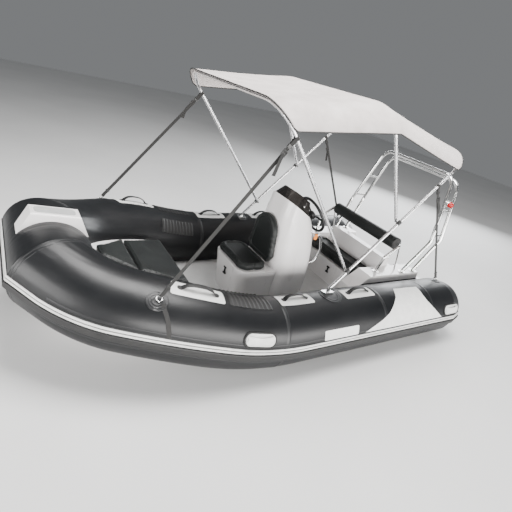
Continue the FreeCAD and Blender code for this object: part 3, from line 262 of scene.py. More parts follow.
def wovenFinish(name, dark, light, pitch, low, high, sheen=0.0, depth=0.0003):
    material, tree, shader = startFinish(name, **{"Sheen Weight": sheen, "Sheen Roughness": 0.5,
                                                  "Specular IOR Level": 0.3})
    lie = addNode(tree, "UVMap").outputs["UV"]
    threads = 3.0 / (2 * math.pi * pitch)
    warp, weft = (addNode(tree, "TexWave", {"Vector": lie, "Scale": threads, "Distortion": 0.3, "Detail": 1.0},
                          bands_direction=way).outputs["Fac"] for way in "XY")
    crossing = addNode(tree, "Math", {0: warp, 1: weft}, operation="MULTIPLY").outputs["Value"]
    fade = cloudy(tree, boatPlace(tree), 6.0, 7.0, 0.65)
    join(tree, shader,
         Base_Color=tinted(tree, fade, dark, light, 0.3, 0.7),
         Roughness=between(tree, fade, low, high),
         Normal=raised(tree, crossing, depth, 0.6))
    return material


def smokedFinish():
    material, tree, shader = startFinish("smokedAcrylic", **{
        "Transmission Weight": 0.62, "IOR": 1.49, "Specular IOR Level": 0.6})
    haze = cloudy(tree, boatPlace(tree), 30.0, 6.0)
    join(tree, shader,
         Base_Color=tinted(tree, haze, (0.030, 0.026, 0.024), (0.045, 0.040, 0.037)),
         Roughness=between(tree, haze, 0.03, 0.09))
    return material


def lensFinish(name, dark, light):
    material, tree, shader = startFinish(name, **{"Transmission Weight": 0.35, "IOR": 1.49})
    haze = cloudy(tree, boatPlace(tree), 60.0, 4.0)
    join(tree, shader, Base_Color=tinted(tree, haze, dark, light), Roughness=between(tree, haze, 0.10, 0.2))
    return material


finishes = {
    "tubeFabric": tubeFabricFinish(),
    "gelcoat": gelcoatFinish(),
    "nonSlipSole": soleFinish(),
    "marineVinyl": vinylFinish(),
    "polishedSteel": steelFinish("polishedSteel", (0.78, 0.78, 0.77), 0.10, 0.20, 0.1),
    "bowTube": steelFinish("bowTube", (0.80, 0.80, 0.81), 0.20, 0.32, 0.2),
    "webbing": wovenFinish("webbing", (0.012, 0.012, 0.012), (0.028, 0.027, 0.026), 0.0016, 0.65, 0.85, 0.2),
    "canopyCloth": wovenFinish("canopyCloth", (0.50, 0.455, 0.435), (0.66, 0.615, 0.595), 0.0012, 0.75, 0.92,
                               0.15, 0.0002),
    "canopyBand": wovenFinish("canopyBand", (0.46, 0.418, 0.40), (0.60, 0.56, 0.54), 0.0012, 0.75, 0.92,
                              0.15, 0.0002),
    "smokedAcrylic": smokedFinish(),
    "redLens": lensFinish("redLens", (0.42, 0.004, 0.006), (0.60, 0.008, 0.010)),
}

# Moulded and rubbery finishes: dark and light tone, roughness from and to, then grain and its scale.
mouldings = {
    "strakeRubber": ((0.006, 0.006, 0.0065), (0.014, 0.0135, 0.0135), 0.42, 0.58),
    "strakeWhite": ((0.56, 0.56, 0.55), (0.74, 0.74, 0.72), 0.40, 0.55),
    "whitePatch": ((0.66, 0.665, 0.65), (0.78, 0.78, 0.765), 0.42, 0.55, 0.4, 900.0),
    "blackPatch": ((0.0045, 0.0048, 0.0058), (0.0095, 0.010, 0.011), 0.36, 0.5, 0.4, 900.0),
    "blackRubber": ((0.0052, 0.0052, 0.0054), (0.012, 0.012, 0.012), 0.45, 0.62),
    "blackPlastic": ((0.012, 0.012, 0.012), (0.022, 0.022, 0.022), 0.34, 0.46),
    "wheelGrip": ((0.011, 0.011, 0.011), (0.02, 0.02, 0.02), 0.38, 0.5, 0.5, 420.0),
    "handleWhite": ((0.60, 0.605, 0.59), (0.75, 0.75, 0.735), 0.38, 0.5),
    "tubeTape": ((0.0034, 0.0038, 0.0046), (0.0078, 0.0084, 0.0094), 0.38, 0.50, 0.35, 1400.0),
    "weltVinyl": ((0.012, 0.013, 0.013), (0.022, 0.024, 0.024), 0.40, 0.52),
    "thread": ((0.016, 0.018, 0.018), (0.030, 0.032, 0.031), 0.6, 0.8),
    "canopyThread": ((0.52, 0.48, 0.46), (0.64, 0.60, 0.58), 0.7, 0.85),
    "gaugeFace": ((0.010, 0.010, 0.012), (0.018, 0.018, 0.02), 0.2, 0.32),
    "gaugeMark": ((0.60, 0.60, 0.58), (0.72, 0.72, 0.70), 0.4, 0.5),
    # Grey tread tone: painted shade for the bow step's top, darker than its lit front face.
    "treadGreyPaintedShade": ((0.33, 0.335, 0.335), (0.44, 0.445, 0.44), 0.6, 0.8, 0.9, 420.0),
    "piping": ((0.014, 0.014, 0.014), (0.026, 0.026, 0.026), 0.5, 0.65),
    "orangePlastic": ((0.72, 0.20, 0.01), (0.85, 0.27, 0.02), 0.3, 0.42),
}
for finishName, tones in mouldings.items():
    finishes[finishName] = mouldedFinish(finishName, *tones)

nodesOf = {
    "gelcoat": ("hull", "bow_locker", "bow_hatch", "bow_step", "console", "front_seat_lid", "rear_seat_box",
                "rear_seat_lid", "rear_bulkhead", "stern_well", "stern_wings", "transom"),
    "marineVinyl": ("bow_cushion_back", "bow_cushion_front", "front_seat_cushion", "front_backrest",
                    "rear_seat_cushion", "bolster"),
    "polishedSteel": ("bolster_frame", "stern_arch", "bimini_mounts", "d_rings"),
    "bowTube": ("bimini_main_bow", "bimini_middle_bow", "bimini_front_bow"),
    "tubeFabric": ("tube_port", "tube_starboard", "tube_bow"),
    "blackPlastic": ("dash_panel", "bimini_jaws"),
    "webbing": ("front_straps", "aft_straps"),
    "nonSlipSole": ("cockpit_sole",), "wheelGrip": ("steering_wheel",), "smokedAcrylic": ("windscreen",),
    "redLens": ("stern_light",), "strakeRubber": ("rub_strake",), "whitePatch": ("handle_pads",),
    "blackPatch": ("patches",), "blackRubber": ("grab_handles",), "handleWhite": ("lifting_handles",),
    "canopyCloth": ("canopy",),
}


def dressNodes():
    for finish, names in nodesOf.items():
        for name in names:
            mesh = nodes[name].data
            mesh.materials.clear()
            mesh.materials.append(finishes[finish])


def layFloor():
    half = 14.0
    corners = [(-half, -half, 0), (half, -half, 0), (half, half, 0), (-half, half, 0)]
    mesh = bpy.data.meshes.new("floor")
    mesh.from_pydata(corners, [], [(0, 1, 2, 3)])
    floor = bpy.data.objects.new("floor", mesh)
    bpy.context.scene.collection.objects.link(floor)
    material, tree, shader = startFinish("paleFloor", Roughness=0.7)
    tone = cloudy(tree, boatPlace(tree), 0.8, 4.0)
    join(tree, shader, Base_Color=tinted(tree, tone, (0.66, 0.66, 0.655), (0.70, 0.70, 0.695)))
    mesh.materials.append(material)


def joinMesh(name, points, faces, finish):
    mesh = bpy.data.meshes.new(name)
    mesh.from_pydata([tuple(map(float, p)) for p in points], [], faces)
    made = bpy.data.objects.new(name, mesh)
    bpy.context.scene.collection.objects.link(made)
    mesh.materials.append(finishes[finish])
    mesh.shade_smooth()
    return made


def sharpen(mesh, degrees):
    work = bmesh.new()
    work.from_mesh(mesh)
    limit = math.radians(degrees)
    for edge in work.edges:
        if len(edge.link_faces) == 2 and edge.calc_face_angle(0.0) > limit:
            edge.smooth = False
    work.to_mesh(mesh)
    work.free()


def oneSkin(made, sharp):
    # Faces turned outward after parts made in any order are joined.
    work = bmesh.new()
    work.from_mesh(made.data)
    bmesh.ops.recalc_face_normals(work, faces=work.faces)
    work.to_mesh(made.data)
    work.free()
    sharpen(made.data, sharp)
    return made


def gather(solids):
    # Several (points, faces) meshes as one.
    points, faces = [], []
    for more, cells in solids:
        faces += [tuple(index + len(points) for index in cell) for cell in cells]
        points += more
    return points, faces


def joinSolids(name, solids, finish, sharp=40):
    points, faces = gather(solids)
    return oneSkin(joinMesh(name, points, faces, finish), sharp)


def layUv(mesh, lieAt):
    # Where each point lies on the flat cloth, in metres, for the weave.
    layer = mesh.uv_layers.new(name="lie")
    for loop in mesh.loops:
        layer.data[loop.index].uv = lieAt(loop.vertex_index)


def eased(line, turns, closed=False):
    # Corners worn down by averaging each point with its neighbours.
    for turn in range(turns):
        soft = [(a + b * 2 + c) / 4 for a, b, c in zip(line[-1:] + line[:-1], line, line[1:] + line[:1])]
        line = soft if closed else line[:1] + soft[1:-1] + line[-1:]
    return line


def ramp(share):
    share = max(0.0, min(1.0, share))
    return share * share * (3 - 2 * share)


def gridFaces(rows, columns, closed, start=0, flip=False):
    faces = []
    for i in range(rows - 1):
        for j in range(columns if closed else columns - 1):
            k = (j + 1) % columns
            quad = (start + i * columns + j, start + i * columns + k,
                    start + (i + 1) * columns + k, start + (i + 1) * columns + j)
            faces.append(quad[::-1] if flip else quad)
    return faces


def keepWith(made, body, slot, *gone):
    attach(made, body)
    if gone:
        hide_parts(*gone)
    return made


# The collar's port side: a straight run, three arcs and a short straight into the mitred corner.
collar = {"radius": 0.240, "spacing": 0.710, "height": 0.230, "sternEnd": -1.500, "taper": 0.158,
          "shoulder": (0.764, 0.668, 0.309), "cheek": (1.243, 0.518, 0.399), "corner": (1.580, 0.245, 0.500),
          "mitreRun": 0.095, "coneLength": 0.140, "coneRadius": 0.200, "columns": 144, "step": 0.014,
          "sheared": 0.42, "frontRows": 64, "endBack": 0.005}


def arcBetween(start, heading, goal):
    chord = goal - start
    normal = heading.cross(chord).normalized()
    half = heading.angle(chord)
    radius = chord.length / 2 / math.sin(half)
    return {"start": start, "heading": heading, "normal": normal, "radius": radius,
            "centre": start + normal.cross(heading) * radius, "length": 2 * half * radius,
            "leaving": Quaternion(normal, 2 * half) @ heading}


def layRoute():
    corner = Vector(collar["corner"])
    first = {"start": Vector((collar["sternEnd"], collar["spacing"], collar["height"])),
             "heading": Vector((1, 0, 0)), "radius": None, "length": collar["taper"] - collar["sternEnd"],
             "leaving": Vector((1, 0, 0))}
    taper = Vector((collar["taper"], collar["spacing"], collar["height"]))
    shoulder, cheek = Vector(collar["shoulder"]), Vector(collar["cheek"])
    one = arcBetween(taper, first["leaving"], shoulder)
    two = arcBetween(shoulder, one["leaving"], cheek)
    three = arcBetween(cheek, two["leaving"], corner)
    for turn in range(60):
        goal = corner - three["leaving"] * collar["mitreRun"]
        three = arcBetween(cheek, two["leaving"], goal)
    last = {"start": goal, "heading": three["leaving"], "radius": None, "length": collar["mitreRun"],
            "leaving": three["leaving"]}
    return [first, one, two, three, last]


route = layRoute()
routeLength = sum(stretch["length"] for stretch in route)
corner = Vector(collar["corner"])
mitreNormal = (route[-1]["leaving"] + Vector((0, -1, 0))).normalized()


def frameAt(s):
    left = s
    for stretch in route:
        if left <= stretch["length"] or stretch is route[-1]:
            break
        left -= stretch["length"]
    if stretch["radius"] is None:
        centre, way = stretch["start"] + stretch["heading"] * left, stretch["heading"]
    else:
        turn = Quaternion(stretch["normal"], left / stretch["radius"])
        centre = stretch["centre"] + turn @ (stretch["start"] - stretch["centre"])
        way = turn @ stretch["heading"]
    side = Vector((0, 0, 1)).cross(way).normalized()
    return centre, way, side, way.cross(side)


def skinRadius(s):
    if s >= 0:
        return collar["radius"]
    return collar["radius"] + (collar["radius"] - collar["coneRadius"]) * s / collar["coneLength"]


def skinPoint(s, tilt, lift=0.0):
    centre, way, side, top = frameAt(s)
    return centre + (side * math.sin(tilt) + top * math.cos(tilt)) * (skinRadius(s) + lift)


def alongAt(x):
    low, high = -0.2, routeLength
    for turn in range(40):
        middle = (low + high) / 2
        if frameAt(middle)[0].x < x:
            low = middle
        else:
            high = middle
    return low


def mitreAt(tilt, lift):
    low, high = routeLength - 0.6, routeLength + 0.4
    for turn in range(36):
        middle = (low + high) / 2
        if (skinPoint(middle, tilt, lift) - corner).dot(mitreNormal) < 0:
            low = middle
        else:
            high = middle
    return low


def crease(place, fineness):
    return 1.0 - 2.0 * abs(noise.noise(place * fineness))


# Soft wrinkles: long ones that run into the mitre, short ones across the front by the step.
wrinkle = {"mitre": 0.0034, "reach": 0.15, "slack": 0.0009, "across": 9.0, "front": 0.0032,
           "frontReach": 0.05}


def sideWrinkle(s, tilt, toMitre):
    ripple = crease(Vector((math.sin(tilt) * 2.3, math.cos(tilt) * 2.3, s * 1.6)), 3.4)
    close = wrinkle["across"]
    fold = noise.noise(Vector((math.sin(tilt) * close, math.cos(tilt) * close, s * 3.0)))
    near = math.exp(-toMitre / wrinkle["reach"])
    swell = noise.noise(Vector((math.sin(tilt), math.cos(tilt), s * 1.3))) * wrinkle["slack"]
    return near * wrinkle["mitre"] * (0.55 * ripple + 0.75 * fold) + swell


def sideGrid(tilts, lifts, wrinkled):
    ends = [mitreAt(tilt, lift) for tilt, lift in zip(tilts, lifts)]
    shearFrom = routeLength - collar["sheared"]
    rows = [-collar["coneLength"] * share for share in (1.0, 0.86, 0.72, 0.58, 0.44, 0.30, 0.16, 0.06, 0.02)]
    rows += list(np.linspace(0.0, shearFrom, int(shearFrom / collar["step"])))
    grid = []
    for s in rows:
        line = []
        for tilt, lift, end in zip(tilts, lifts, ends):
            extra = sideWrinkle(s, tilt, end - s) if wrinkled else 0.0
            line.append(skinPoint(s, tilt, lift + extra))
        grid.append(line)
    steps = int(collar["sheared"] / collar["step"] * 1.3)
    for i in range(1, steps + 1):
        share = i / steps
        line = []
        for tilt, lift, end in zip(tilts, lifts, ends):
            s = shearFrom + (end - shearFrom) * share
            extra = sideWrinkle(s, tilt, end - s) * (1 - share ** 12) if wrinkled else 0.0
            line.append(skinPoint(s, tilt, lift + extra))
        grid.append(line)
    return grid


def frontGrid(seam, tilts, wrinkled):
    grid = []
    rows = collar["frontRows"]
    for i in range(rows + 1):
        share = i / rows
        line = []
        for start, tilt in zip(seam, tilts):
            y = start.y * (1 - 2 * share)
            out = Vector((start.x - corner.x, 0, start.z - corner.z))
            if wrinkled:
                edge = min(share, 1 - share) * 2 * start.y
                near = math.exp(-abs(abs(y) - 0.085) / wrinkle["frontReach"])
                fold = noise.noise(Vector((tilt * 2.2, y * 52.0, 3.0))) * near * wrinkle["front"]
                pull = crease(Vector((math.sin(tilt) * 2.3, math.cos(tilt) * 2.3, abs(y) * 2.0 + 4.0)), 3.6)
                fold += pull * 0.0014 * math.exp(-edge / 0.09)
                out = out * (1 + fold * min(1.0, edge / 0.01) / out.length)
            line.append(Vector((corner.x + out.x, y, corner.z + out.z)))
        grid.append(line)
    return grid


def flat(grid):
    return [p for line in grid for p in line]


def mirroredPoints(points):
    return [Vector((p.x, -p.y, p.z)) for p in points]


def bothSides(points, faces):
    return [(points, faces), (mirroredPoints(points), [face[::-1] for face in faces])]


def sternCap(first, tilts):
    # A domed end disc: the edge turns in over a small radius and the middle stays flat.
    rings = []
    for inset, back in ((0.000, 0.000), (0.0012, 0.0024), (0.004, 0.0042), (0.009, 0.005), (0.045, 0.005),
                        (0.11, 0.0045), (0.17, 0.004)):
        rings.append([skinPoint(-collar["coneLength"], tilt, -inset) + Vector((0.005 - back, 0, 0))
                      for tilt in tilts])
    return rings[::-1]


def buildTubes():
    count = collar["columns"]
    tilts = [2 * math.pi * j / count - math.pi for j in range(count)]
    side = sideGrid(tilts, [0.0] * count, True)
    for point in side[0]:
        point.x += collar["endBack"]
    cap = sternCap(side[0], tilts)
    grid = cap[:-1] + side
    middle = Vector((-collar["coneLength"] + collar["sternEnd"] + 0.001, collar["spacing"], collar["height"]))
    port = flat(grid) + [middle]
    skin = gridFaces(len(grid), count, True)
    skin += [(len(port) - 1, (j + 1) % count, j) for j in range(count)]
    for name, (points, faces) in zip(("Port", "Starboard"), bothSides(port, skin)):
        keepWith(joinMesh("collar" + name, points, faces, "tubeFabric"), "boat", "tube_black",
                 "tube_" + name.lower())
    front = frontGrid(side[-1], tilts, True)
    bow = joinMesh("collarBow", flat(front), gridFaces(len(front), count, True), "tubeFabric")
    keepWith(bow, "boat", "tube_black", "tube_bow")
    print("collar laid:", len(port) * 2 + len(flat(front)), "points")
    return side[-1], tilts


# Half the rub strake's section: angle above the horizontal, height off the skin.
strake = {"body": [(11.2, 0.0003), (10.7, 0.0030), (10.1, 0.0036), (1.9, 0.0036), (1.5, 0.0050), (1.1, 0.0125),
                   (0.4, 0.0148), (-1.8, 0.0150), (-3.3, 0.0143), (-3.9, 0.0150), (-4.5, 0.0143), (-6.2, 0.0148),
                   (-7.6, 0.0135), (-8.2, 0.0060), (-8.7, 0.0038), (-10.3, 0.0034), (-10.9, 0.0003)],
          "upper": [(9.9, 0.0037), (9.7, 0.0070), (9.2, 0.0084), (8.3, 0.0088), (7.4, 0.0084), (6.9, 0.0070),
                    (6.7, 0.0037)],
          "lower": [(5.6, 0.0037), (5.4, 0.0078), (4.9, 0.0092), (4.0, 0.0096), (3.1, 0.0092), (2.6, 0.0078),
                    (2.4, 0.0037)]}


def smoothProfile(profile, closer=3):
    points = []
    for (a, r), (b, q) in zip(profile, profile[1:]):
        points += [Vector((a + (b - a) * k / closer, r + (q - r) * k / closer)) for k in range(closer)]
    return eased(points + [Vector(profile[-1])], 2)


def buildStrake():
    for name, part, finish, gone in (("strakeBody", "body", "strakeRubber", ("rub_strake",)),
                                     ("strakeLineUpper", "upper", "strakeWhite", ()),
                                     ("strakeLineLower", "lower", "strakeWhite", ())):
        profile = smoothProfile(strake[part])
        tilts = [math.radians(90 - angle) for angle, height in profile]
        side = sideGrid(tilts, [height for angle, height in profile], False)
        front = frontGrid(side[-1], tilts, False)
        whole = side + front[1:] + [mirroredPoints(line) for line in side[-2::-1]]
        piece = joinMesh(name, flat(whole), gridFaces(len(whole), len(profile), False), finish)
        keepWith(piece, "boat", "strake_black", *gone)
    print("rub strake laid")


def cutCells(outline, cell):
    # A flat outline as one face, cut into square cells.
    work = bmesh.new()
    work.faces.new([work.verts.new((p, q, 0)) for p, q in outline])
    for axis in (0, 1):
        values = [point[axis] for point in outline]
        for k in range(math.floor(min(values) / cell) + 1, math.ceil(max(values) / cell)):
            where, facing = Vector((0, 0, 0)), Vector((0, 0, 0))
            where[axis], facing[axis] = k * cell, 1
            bmesh.ops.bisect_plane(work, geom=work.verts[:] + work.edges[:] + work.faces[:], plane_co=where,
                                   plane_no=facing, dist=1e-6)
    return work


def thicken(work, heightAt):
    grown = bmesh.ops.extrude_face_region(work, geom=work.faces[:])
    for item in grown["geom"]:
        if isinstance(item, bmesh.types.BMVert):
            item.co.z = heightAt(item.co.x, item.co.y)
    work.verts.ensure_lookup_table()


def hug(name, outline, lift, thick, finish, slot, cell, height=None):
    # A flat shape, in metres along and across the tube, laid in small cells on both sides' skin.
    work = cutCells(outline, cell)
    bmesh.ops.triangulate(work, faces=[face for face in work.faces if len(face.verts) > 4])
    work.normal_update()
    if not any(face.normal.z > 0 for face in work.faces):
        bmesh.ops.reverse_faces(work, faces=work.faces[:])
    thicken(work, lambda s, arc: thick + (height(s, arc) if height else 0.0))
    bmesh.ops.delete(work, geom=[face for face in work.faces if all(v.co.z == 0 for v in face.verts)],
                     context="FACES_ONLY")
    work.verts.index_update()
    points = [skinPoint(v.co.x, v.co.y / collar["radius"], lift + v.co.z) for v in work.verts]
    faces = [tuple(v.index for v in face.verts)[::-1] for face in work.faces]
    work.free()
    return keepWith(joinSolids(name, bothSides(points, faces), finish), "boat", slot)


def roundedBox(s, arc, length, width, radius, steps=6):
    points = []
    for cx, cy, start in ((1, 1, 0), (-1, 1, 90), (-1, -1, 180), (1, -1, 270)):
        for k in range(steps + 1):
            angle = math.radians(start + 90 * k / steps)
            points.append((s + cx * (length / 2 - radius) + radius * math.cos(angle),
                           arc + cy * (width / 2 - radius) + radius * math.sin(angle)))
    return points


def disc(s, arc, radius, steps=48):
    return [(s + radius * math.cos(2 * math.pi * k / steps), arc + radius * math.sin(2 * math.pi * k / steps))
            for k in range(steps)]


def arcOf(degrees):
    return math.radians(degrees) * collar["radius"]


pads = {"spots": ((0.932, 6.0), (0.182, -2.0), (-0.419, 0.0)), "length": 0.300, "width": 0.112,
        "round": 0.012, "thick": 0.0022, "lift": 0.0003, "cell": 0.009}
rings = {"fore": (1.122, 35.0, 0.055), "aft": (-1.455, -7.0, 0.042), "mount": (-0.152, -2.0, 0.085),
         "ridges": {"fore": (0.024, 0.038, 0.050), "aft": (0.020, 0.034), "mount": (0.060, 0.078)}}
treads = {"from": 0.425, "to": 0.760, "count": 10, "rise": 0.0036,
          "bands": {"Top": (-12.0, 19.0), "Inner": (-62.0, -34.0)}}
# The bare plate on the tube and the white stern panel, as place along the boat and tilt in degrees.
plate = {"middle": -0.1365, "length": 0.323, "tilt": 70.0, "turn": 16.0, "round": 0.008}
panel = ((-0.821, 3.3), (-0.773, 23.7), (-0.707, 38.4), (-0.64, 51.2), (-0.554, 61.1), (-0.45, 70.6),
         (-0.375, 77.9), (-1.315, 77.9), (-1.245, 66), (-1.181, 53.2), (-1.128, 40), (-1.106, 28), (-1.106, 5.9))


def buildPatches():
    for number, (x, tilt) in enumerate(pads["spots"], 1):
        middle, arcMiddle = alongAt(x), arcOf(tilt)

        def weld(s, arc, middle=middle, arcMiddle=arcMiddle):
            # A faint line where the patch's welded border ends.
            inset = min(pads["length"] / 2 - abs(s - middle), pads["width"] / 2 - abs(arc - arcMiddle))
            return -0.0006 * math.exp(-((inset - 0.009) / 0.0022) ** 2)
        shape = roundedBox(middle, arcMiddle, pads["length"], pads["width"], pads["round"])
        hug("handlePad%d" % number, shape, pads["lift"], pads["thick"], "whitePatch", "patch_white",
                         pads["cell"], weld)
    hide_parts("handle_pads")
    for name, radii in rings["ridges"].items():
        x, tilt, reach = rings[name]
        middle, arcMiddle = alongAt(x), arcOf(tilt)

        def circles(s, arc, radii=radii, middle=middle, arcMiddle=arcMiddle):
            away = math.hypot(s - middle, arc - arcMiddle)
            return sum(0.0022 * math.exp(-((away - r) / 0.0026) ** 2) for r in radii)
        hug(name + "Patch", disc(middle, arcMiddle, reach), pads["lift"], pads["thick"], "blackPatch",
                         "patch_black", 0.004, circles)
    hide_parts("patches")
    first, last = alongAt(treads["from"]), alongAt(treads["to"])

    def ridges(s, arc):
        share = (s - first) / (last - first) * treads["count"]
        wave = abs((share % 1.0) - 0.5) * 2
        return treads["rise"] * max(0.0, 1 - (wave / 0.55) ** 2)
    for name, (low, high) in treads["bands"].items():
        shape = roundedBox((first + last) / 2, arcOf((low + high) / 2), last - first, arcOf(high - low), 0.010)
        hug("tread" + name, shape, 0.0002, 0.0016, "blackRubber", "tube_black", 0.0058, ridges)
    shape = roundedBox(alongAt(plate["middle"]), arcOf(plate["tilt"]), plate["length"], arcOf(plate["turn"]),
                       plate["round"])
    hug("namePlate", shape, 0.0002, 0.0014, "whitePatch", "patch_white", 0.010)
    shape = [(alongAt(x), arcOf(tilt)) for x, tilt in panel]
    hug("sternPanel", shape, 0.0002, 0.0009, "whitePatch", "patch_white", 0.012)
    print("patches, plates and treads laid")


# Glued tapes: round the tubes at each place along, down them at each tilt, and in from the mitre.
seams = {"round": ((0.330, -0.600, -1.180), 0.030, 0.0007), "along": ((75.0, 104.0), 0.016, 0.0008),
         "mitre": ((0.010, 0.027), 0.0065, 0.0009)}


def seamBand(line, width, lift):
    # A glued tape that follows a line of (along, tilt) points on both sides.
    points = []
    for before, here, after in zip([line[0]] + line, line, line[1:] + [line[-1]]):
        way = (skinPoint(*after) - skinPoint(*before)).normalized()
        centre, axis, side, top = frameAt(here[0])
        out = side * math.sin(here[1]) + top * math.cos(here[1])
        across = out.cross(way).normalized() * width / 2
        at = skinPoint(*here)
        for shift, rise in ((-1, 0.0), (-0.93, lift), (0, lift * 1.1), (0.93, lift), (1, 0.0)):
            points.append(at + across * shift + out * rise)
    return bothSides(points, gridFaces(len(line), 5, False))


def buildSeams():
    around = [2 * math.pi * k / 120 for k in range(121)]
    atMitre = [2 * math.pi * k / 150 for k in range(151)]
    lengths = np.linspace(-0.02, routeLength - 0.13, 260)
    lines = {"round": lambda x: [(alongAt(x), tilt) for tilt in around],
             "along": lambda degrees: [(s, math.radians(degrees)) for s in lengths],
             "mitre": lambda inset: [(mitreAt(tilt, 0) - inset, tilt) for tilt in atMitre]}
    tapes = []
    for name, (places, width, lift) in seams.items():
        for place in places:
            tapes += seamBand(lines[name](place), width, lift)
    points, faces = gather(tapes)
    keepWith(joinMesh("collarSeams", points, faces, "tubeTape"), "boat", "tube_black")


def edgeAway(x, y, outline):
    # Distance inside a closed flat outline, measured to its nearest side.
    best = 9.0
    for (ax, ay), (bx, by) in zip(outline, outline[1:] + outline[:1]):
        dx, dy = bx - ax, by - ay
        share = max(0.0, min(1.0, ((x - ax) * dx + (y - ay) * dy) / (dx * dx + dy * dy)))
        best = min(best, math.hypot(x - ax - dx * share, y - ay - dy * share))
    return best


# Every cushion: the node whose place it fills, how full it is blown and where it is sewn.
cushions = {
    "bowCushionAft": {"node": "bow_cushion_back", "body": "bow_lid", "shrink": 0.003, "spread": 0.012,
                      "pressure": 2.4, "cap": 0.010, "lean": (0.1956, 0.0, 0.9807), "welt": 0.011, "fill": 0.85},
    "bowCushionFore": {"node": "bow_cushion_front", "body": "boat", "shrink": 0.003, "spread": 0.014,
                       "pressure": 2.4, "cap": 0.010, "lean": (-0.1959, 0.0, 0.9806), "welt": 0.011, "fill": 0.85},
    "frontSeatPad": {"node": "front_seat_cushion", "body": "front_seat", "shrink": 0.008, "pressure": 4.0,
                     "cap": 0.014, "lean": (0, 0, 1), "border": 0.052, "sunk": 0.007, "welt": 0.010, "fill": 0.85},
    "backrestPad": {"node": "front_backrest", "body": "boat", "shrink": 0.005, "pressure": 1.6, "cap": 0.006,
                    "lean": (1, 0, 0), "skirt": 0.040, "border": 0.040, "sunk": 0.004, "welt": 0.008, "fill": 0.85},
    "rearSeatPad": {"node": "rear_seat_cushion", "body": "rear_seat", "shrink": 0.009, "pressure": 4.0, "cap": 0.016,
                    "lean": (0, 0, 1), "border": 0.040, "sunk": 0.012, "welt": 0.014, "fill": 0.85},
    "bolsterRoll": {"node": "bolster", "body": "boat", "shrink": 0.007, "pressure": 4.0, "cap": 0.009,
                    "lean": (0, 0, 0), "fill": 0.95},
}
stuffing = {"voxel": 0.0060, "quality": 4, "mass": 0.4, "stretch": 18, "shear": 8, "bend": 1.6, "steps": 20,
            "seatGap": 0.0006, "crownRise": 0.006, "skirtFrom": 0.07, "weltRadius": 0.0024, "stitchGap": 0.006}


def swell(made, mesh, spec):
    # The cover is blown up like a stuffed bag, then held to its cap.
    before = np.array([v.co for v in mesh.vertices])
    cloth = made.modifiers.new("stuffing", "CLOTH")
    settings = cloth.settings
    settings.quality = stuffing["quality"]
    settings.mass = stuffing["mass"]
    settings.tension_stiffness = settings.compression_stiffness = stuffing["stretch"]
    settings.shear_stiffness = stuffing["shear"]
    settings.bending_stiffness = stuffing["bend"]
    settings.use_pressure = True
    settings.uniform_pressure_force = spec["pressure"]
    settings.effector_weights.gravity = 0
    cloth.collision_settings.use_collision = False
    scene = bpy.context.scene
    for step in range(1, stuffing["steps"] + 1):
        scene.frame_set(step)
    blown = made.evaluated_get(bpy.context.evaluated_depsgraph_get())
    move = np.array([v.co for v in blown.to_mesh().vertices]) - before
    blown.to_mesh_clear()
    made.modifiers.remove(cloth)
    scene.frame_set(1)
    length = np.linalg.norm(move, axis=1, keepdims=True)
    move *= np.minimum(1.0, spec["cap"] / np.maximum(length, 1e-9))
    for vertex, where in zip(mesh.vertices, before + move):
        vertex.co = where


def padFrame(spec):
    up = Vector(spec["lean"])
    if up.length < 0.5:
        return None
    up.normalize()
    across = Vector((0, 1, 0))
    return across.cross(up).normalized(), across, up


def padOutline(mesh, axes):
    # The plan shape: the widest ring of the starting solid, ordered round its middle.
    ahead, across, up = axes
    spots = [(v.co.dot(ahead), v.co.dot(across)) for v in mesh.vertices]
    cx = sum(p[0] for p in spots) / len(spots)
    cy = sum(p[1] for p in spots) / len(spots)
    count = 96
    rays = []
    for k in range(count):
        c, d = math.cos(2 * math.pi * k / count), math.sin(2 * math.pi * k / count)
        rays.append((c, d, max((x - cx) * c + (y - cy) * d for x, y in spots)))
    outline = []
    for (c, d, reach), (e, f, nextReach) in zip(rays, rays[1:] + rays[:1]):
        x, y = np.linalg.solve(np.array([[c, d], [e, f]]), (reach, nextReach))
        outline.append((cx + x, cy + y))
    return outline


def insetPath(outline, inset, step=0.004):
    # The plan outline moved inward, resampled evenly and eased at its corners.
    points = []
    for (ax, ay), (bx, by) in zip(outline, outline[1:] + outline[:1]):
        length = math.hypot(bx - ax, by - ay)
        if length < 1e-5:
            continue
        parts = max(1, int(length / step))
        nx, ny = (by - ay) / length, -(bx - ax) / length
        for k in range(parts):
            points.append(Vector((ax + (bx - ax) * k / parts - nx * inset,
                                  ay + (by - ay) * k / parts - ny * inset)))
    return eased([p for p in points if edgeAway(p[0], p[1], outline) > inset - 0.0008], 6, True)


def tubeAlong(path, radius, sides, closed=False):
    points = []
    count = len(path)
    for i, here in enumerate(path):
        before = path[i - 1] if closed or i else here
        after = path[(i + 1) % count] if closed or i < count - 1 else here
        way = (after - before).normalized()
        side = way.orthogonal().normalized() if i == 0 else (side - way * side.dot(way)).normalized()
        up = way.cross(side)
        for k in range(sides):
            angle = 2 * math.pi * k / sides
            points.append(here + (side * math.cos(angle) + up * math.sin(angle)) * radius)
    faces = gridFaces(count, sides, True)
    last = (count - 1) * sides
    if closed:
        shift = min(range(sides), key=lambda k: (points[last] - points[k]).length)
        faces += [(last + k, last + (k + 1) % sides, (k + 1 + shift) % sides, (k + shift) % sides)
                  for k in range(sides)]
    else:
        faces += [tuple(range(sides))[::-1], tuple(range(last, last + sides))]
    return points, faces


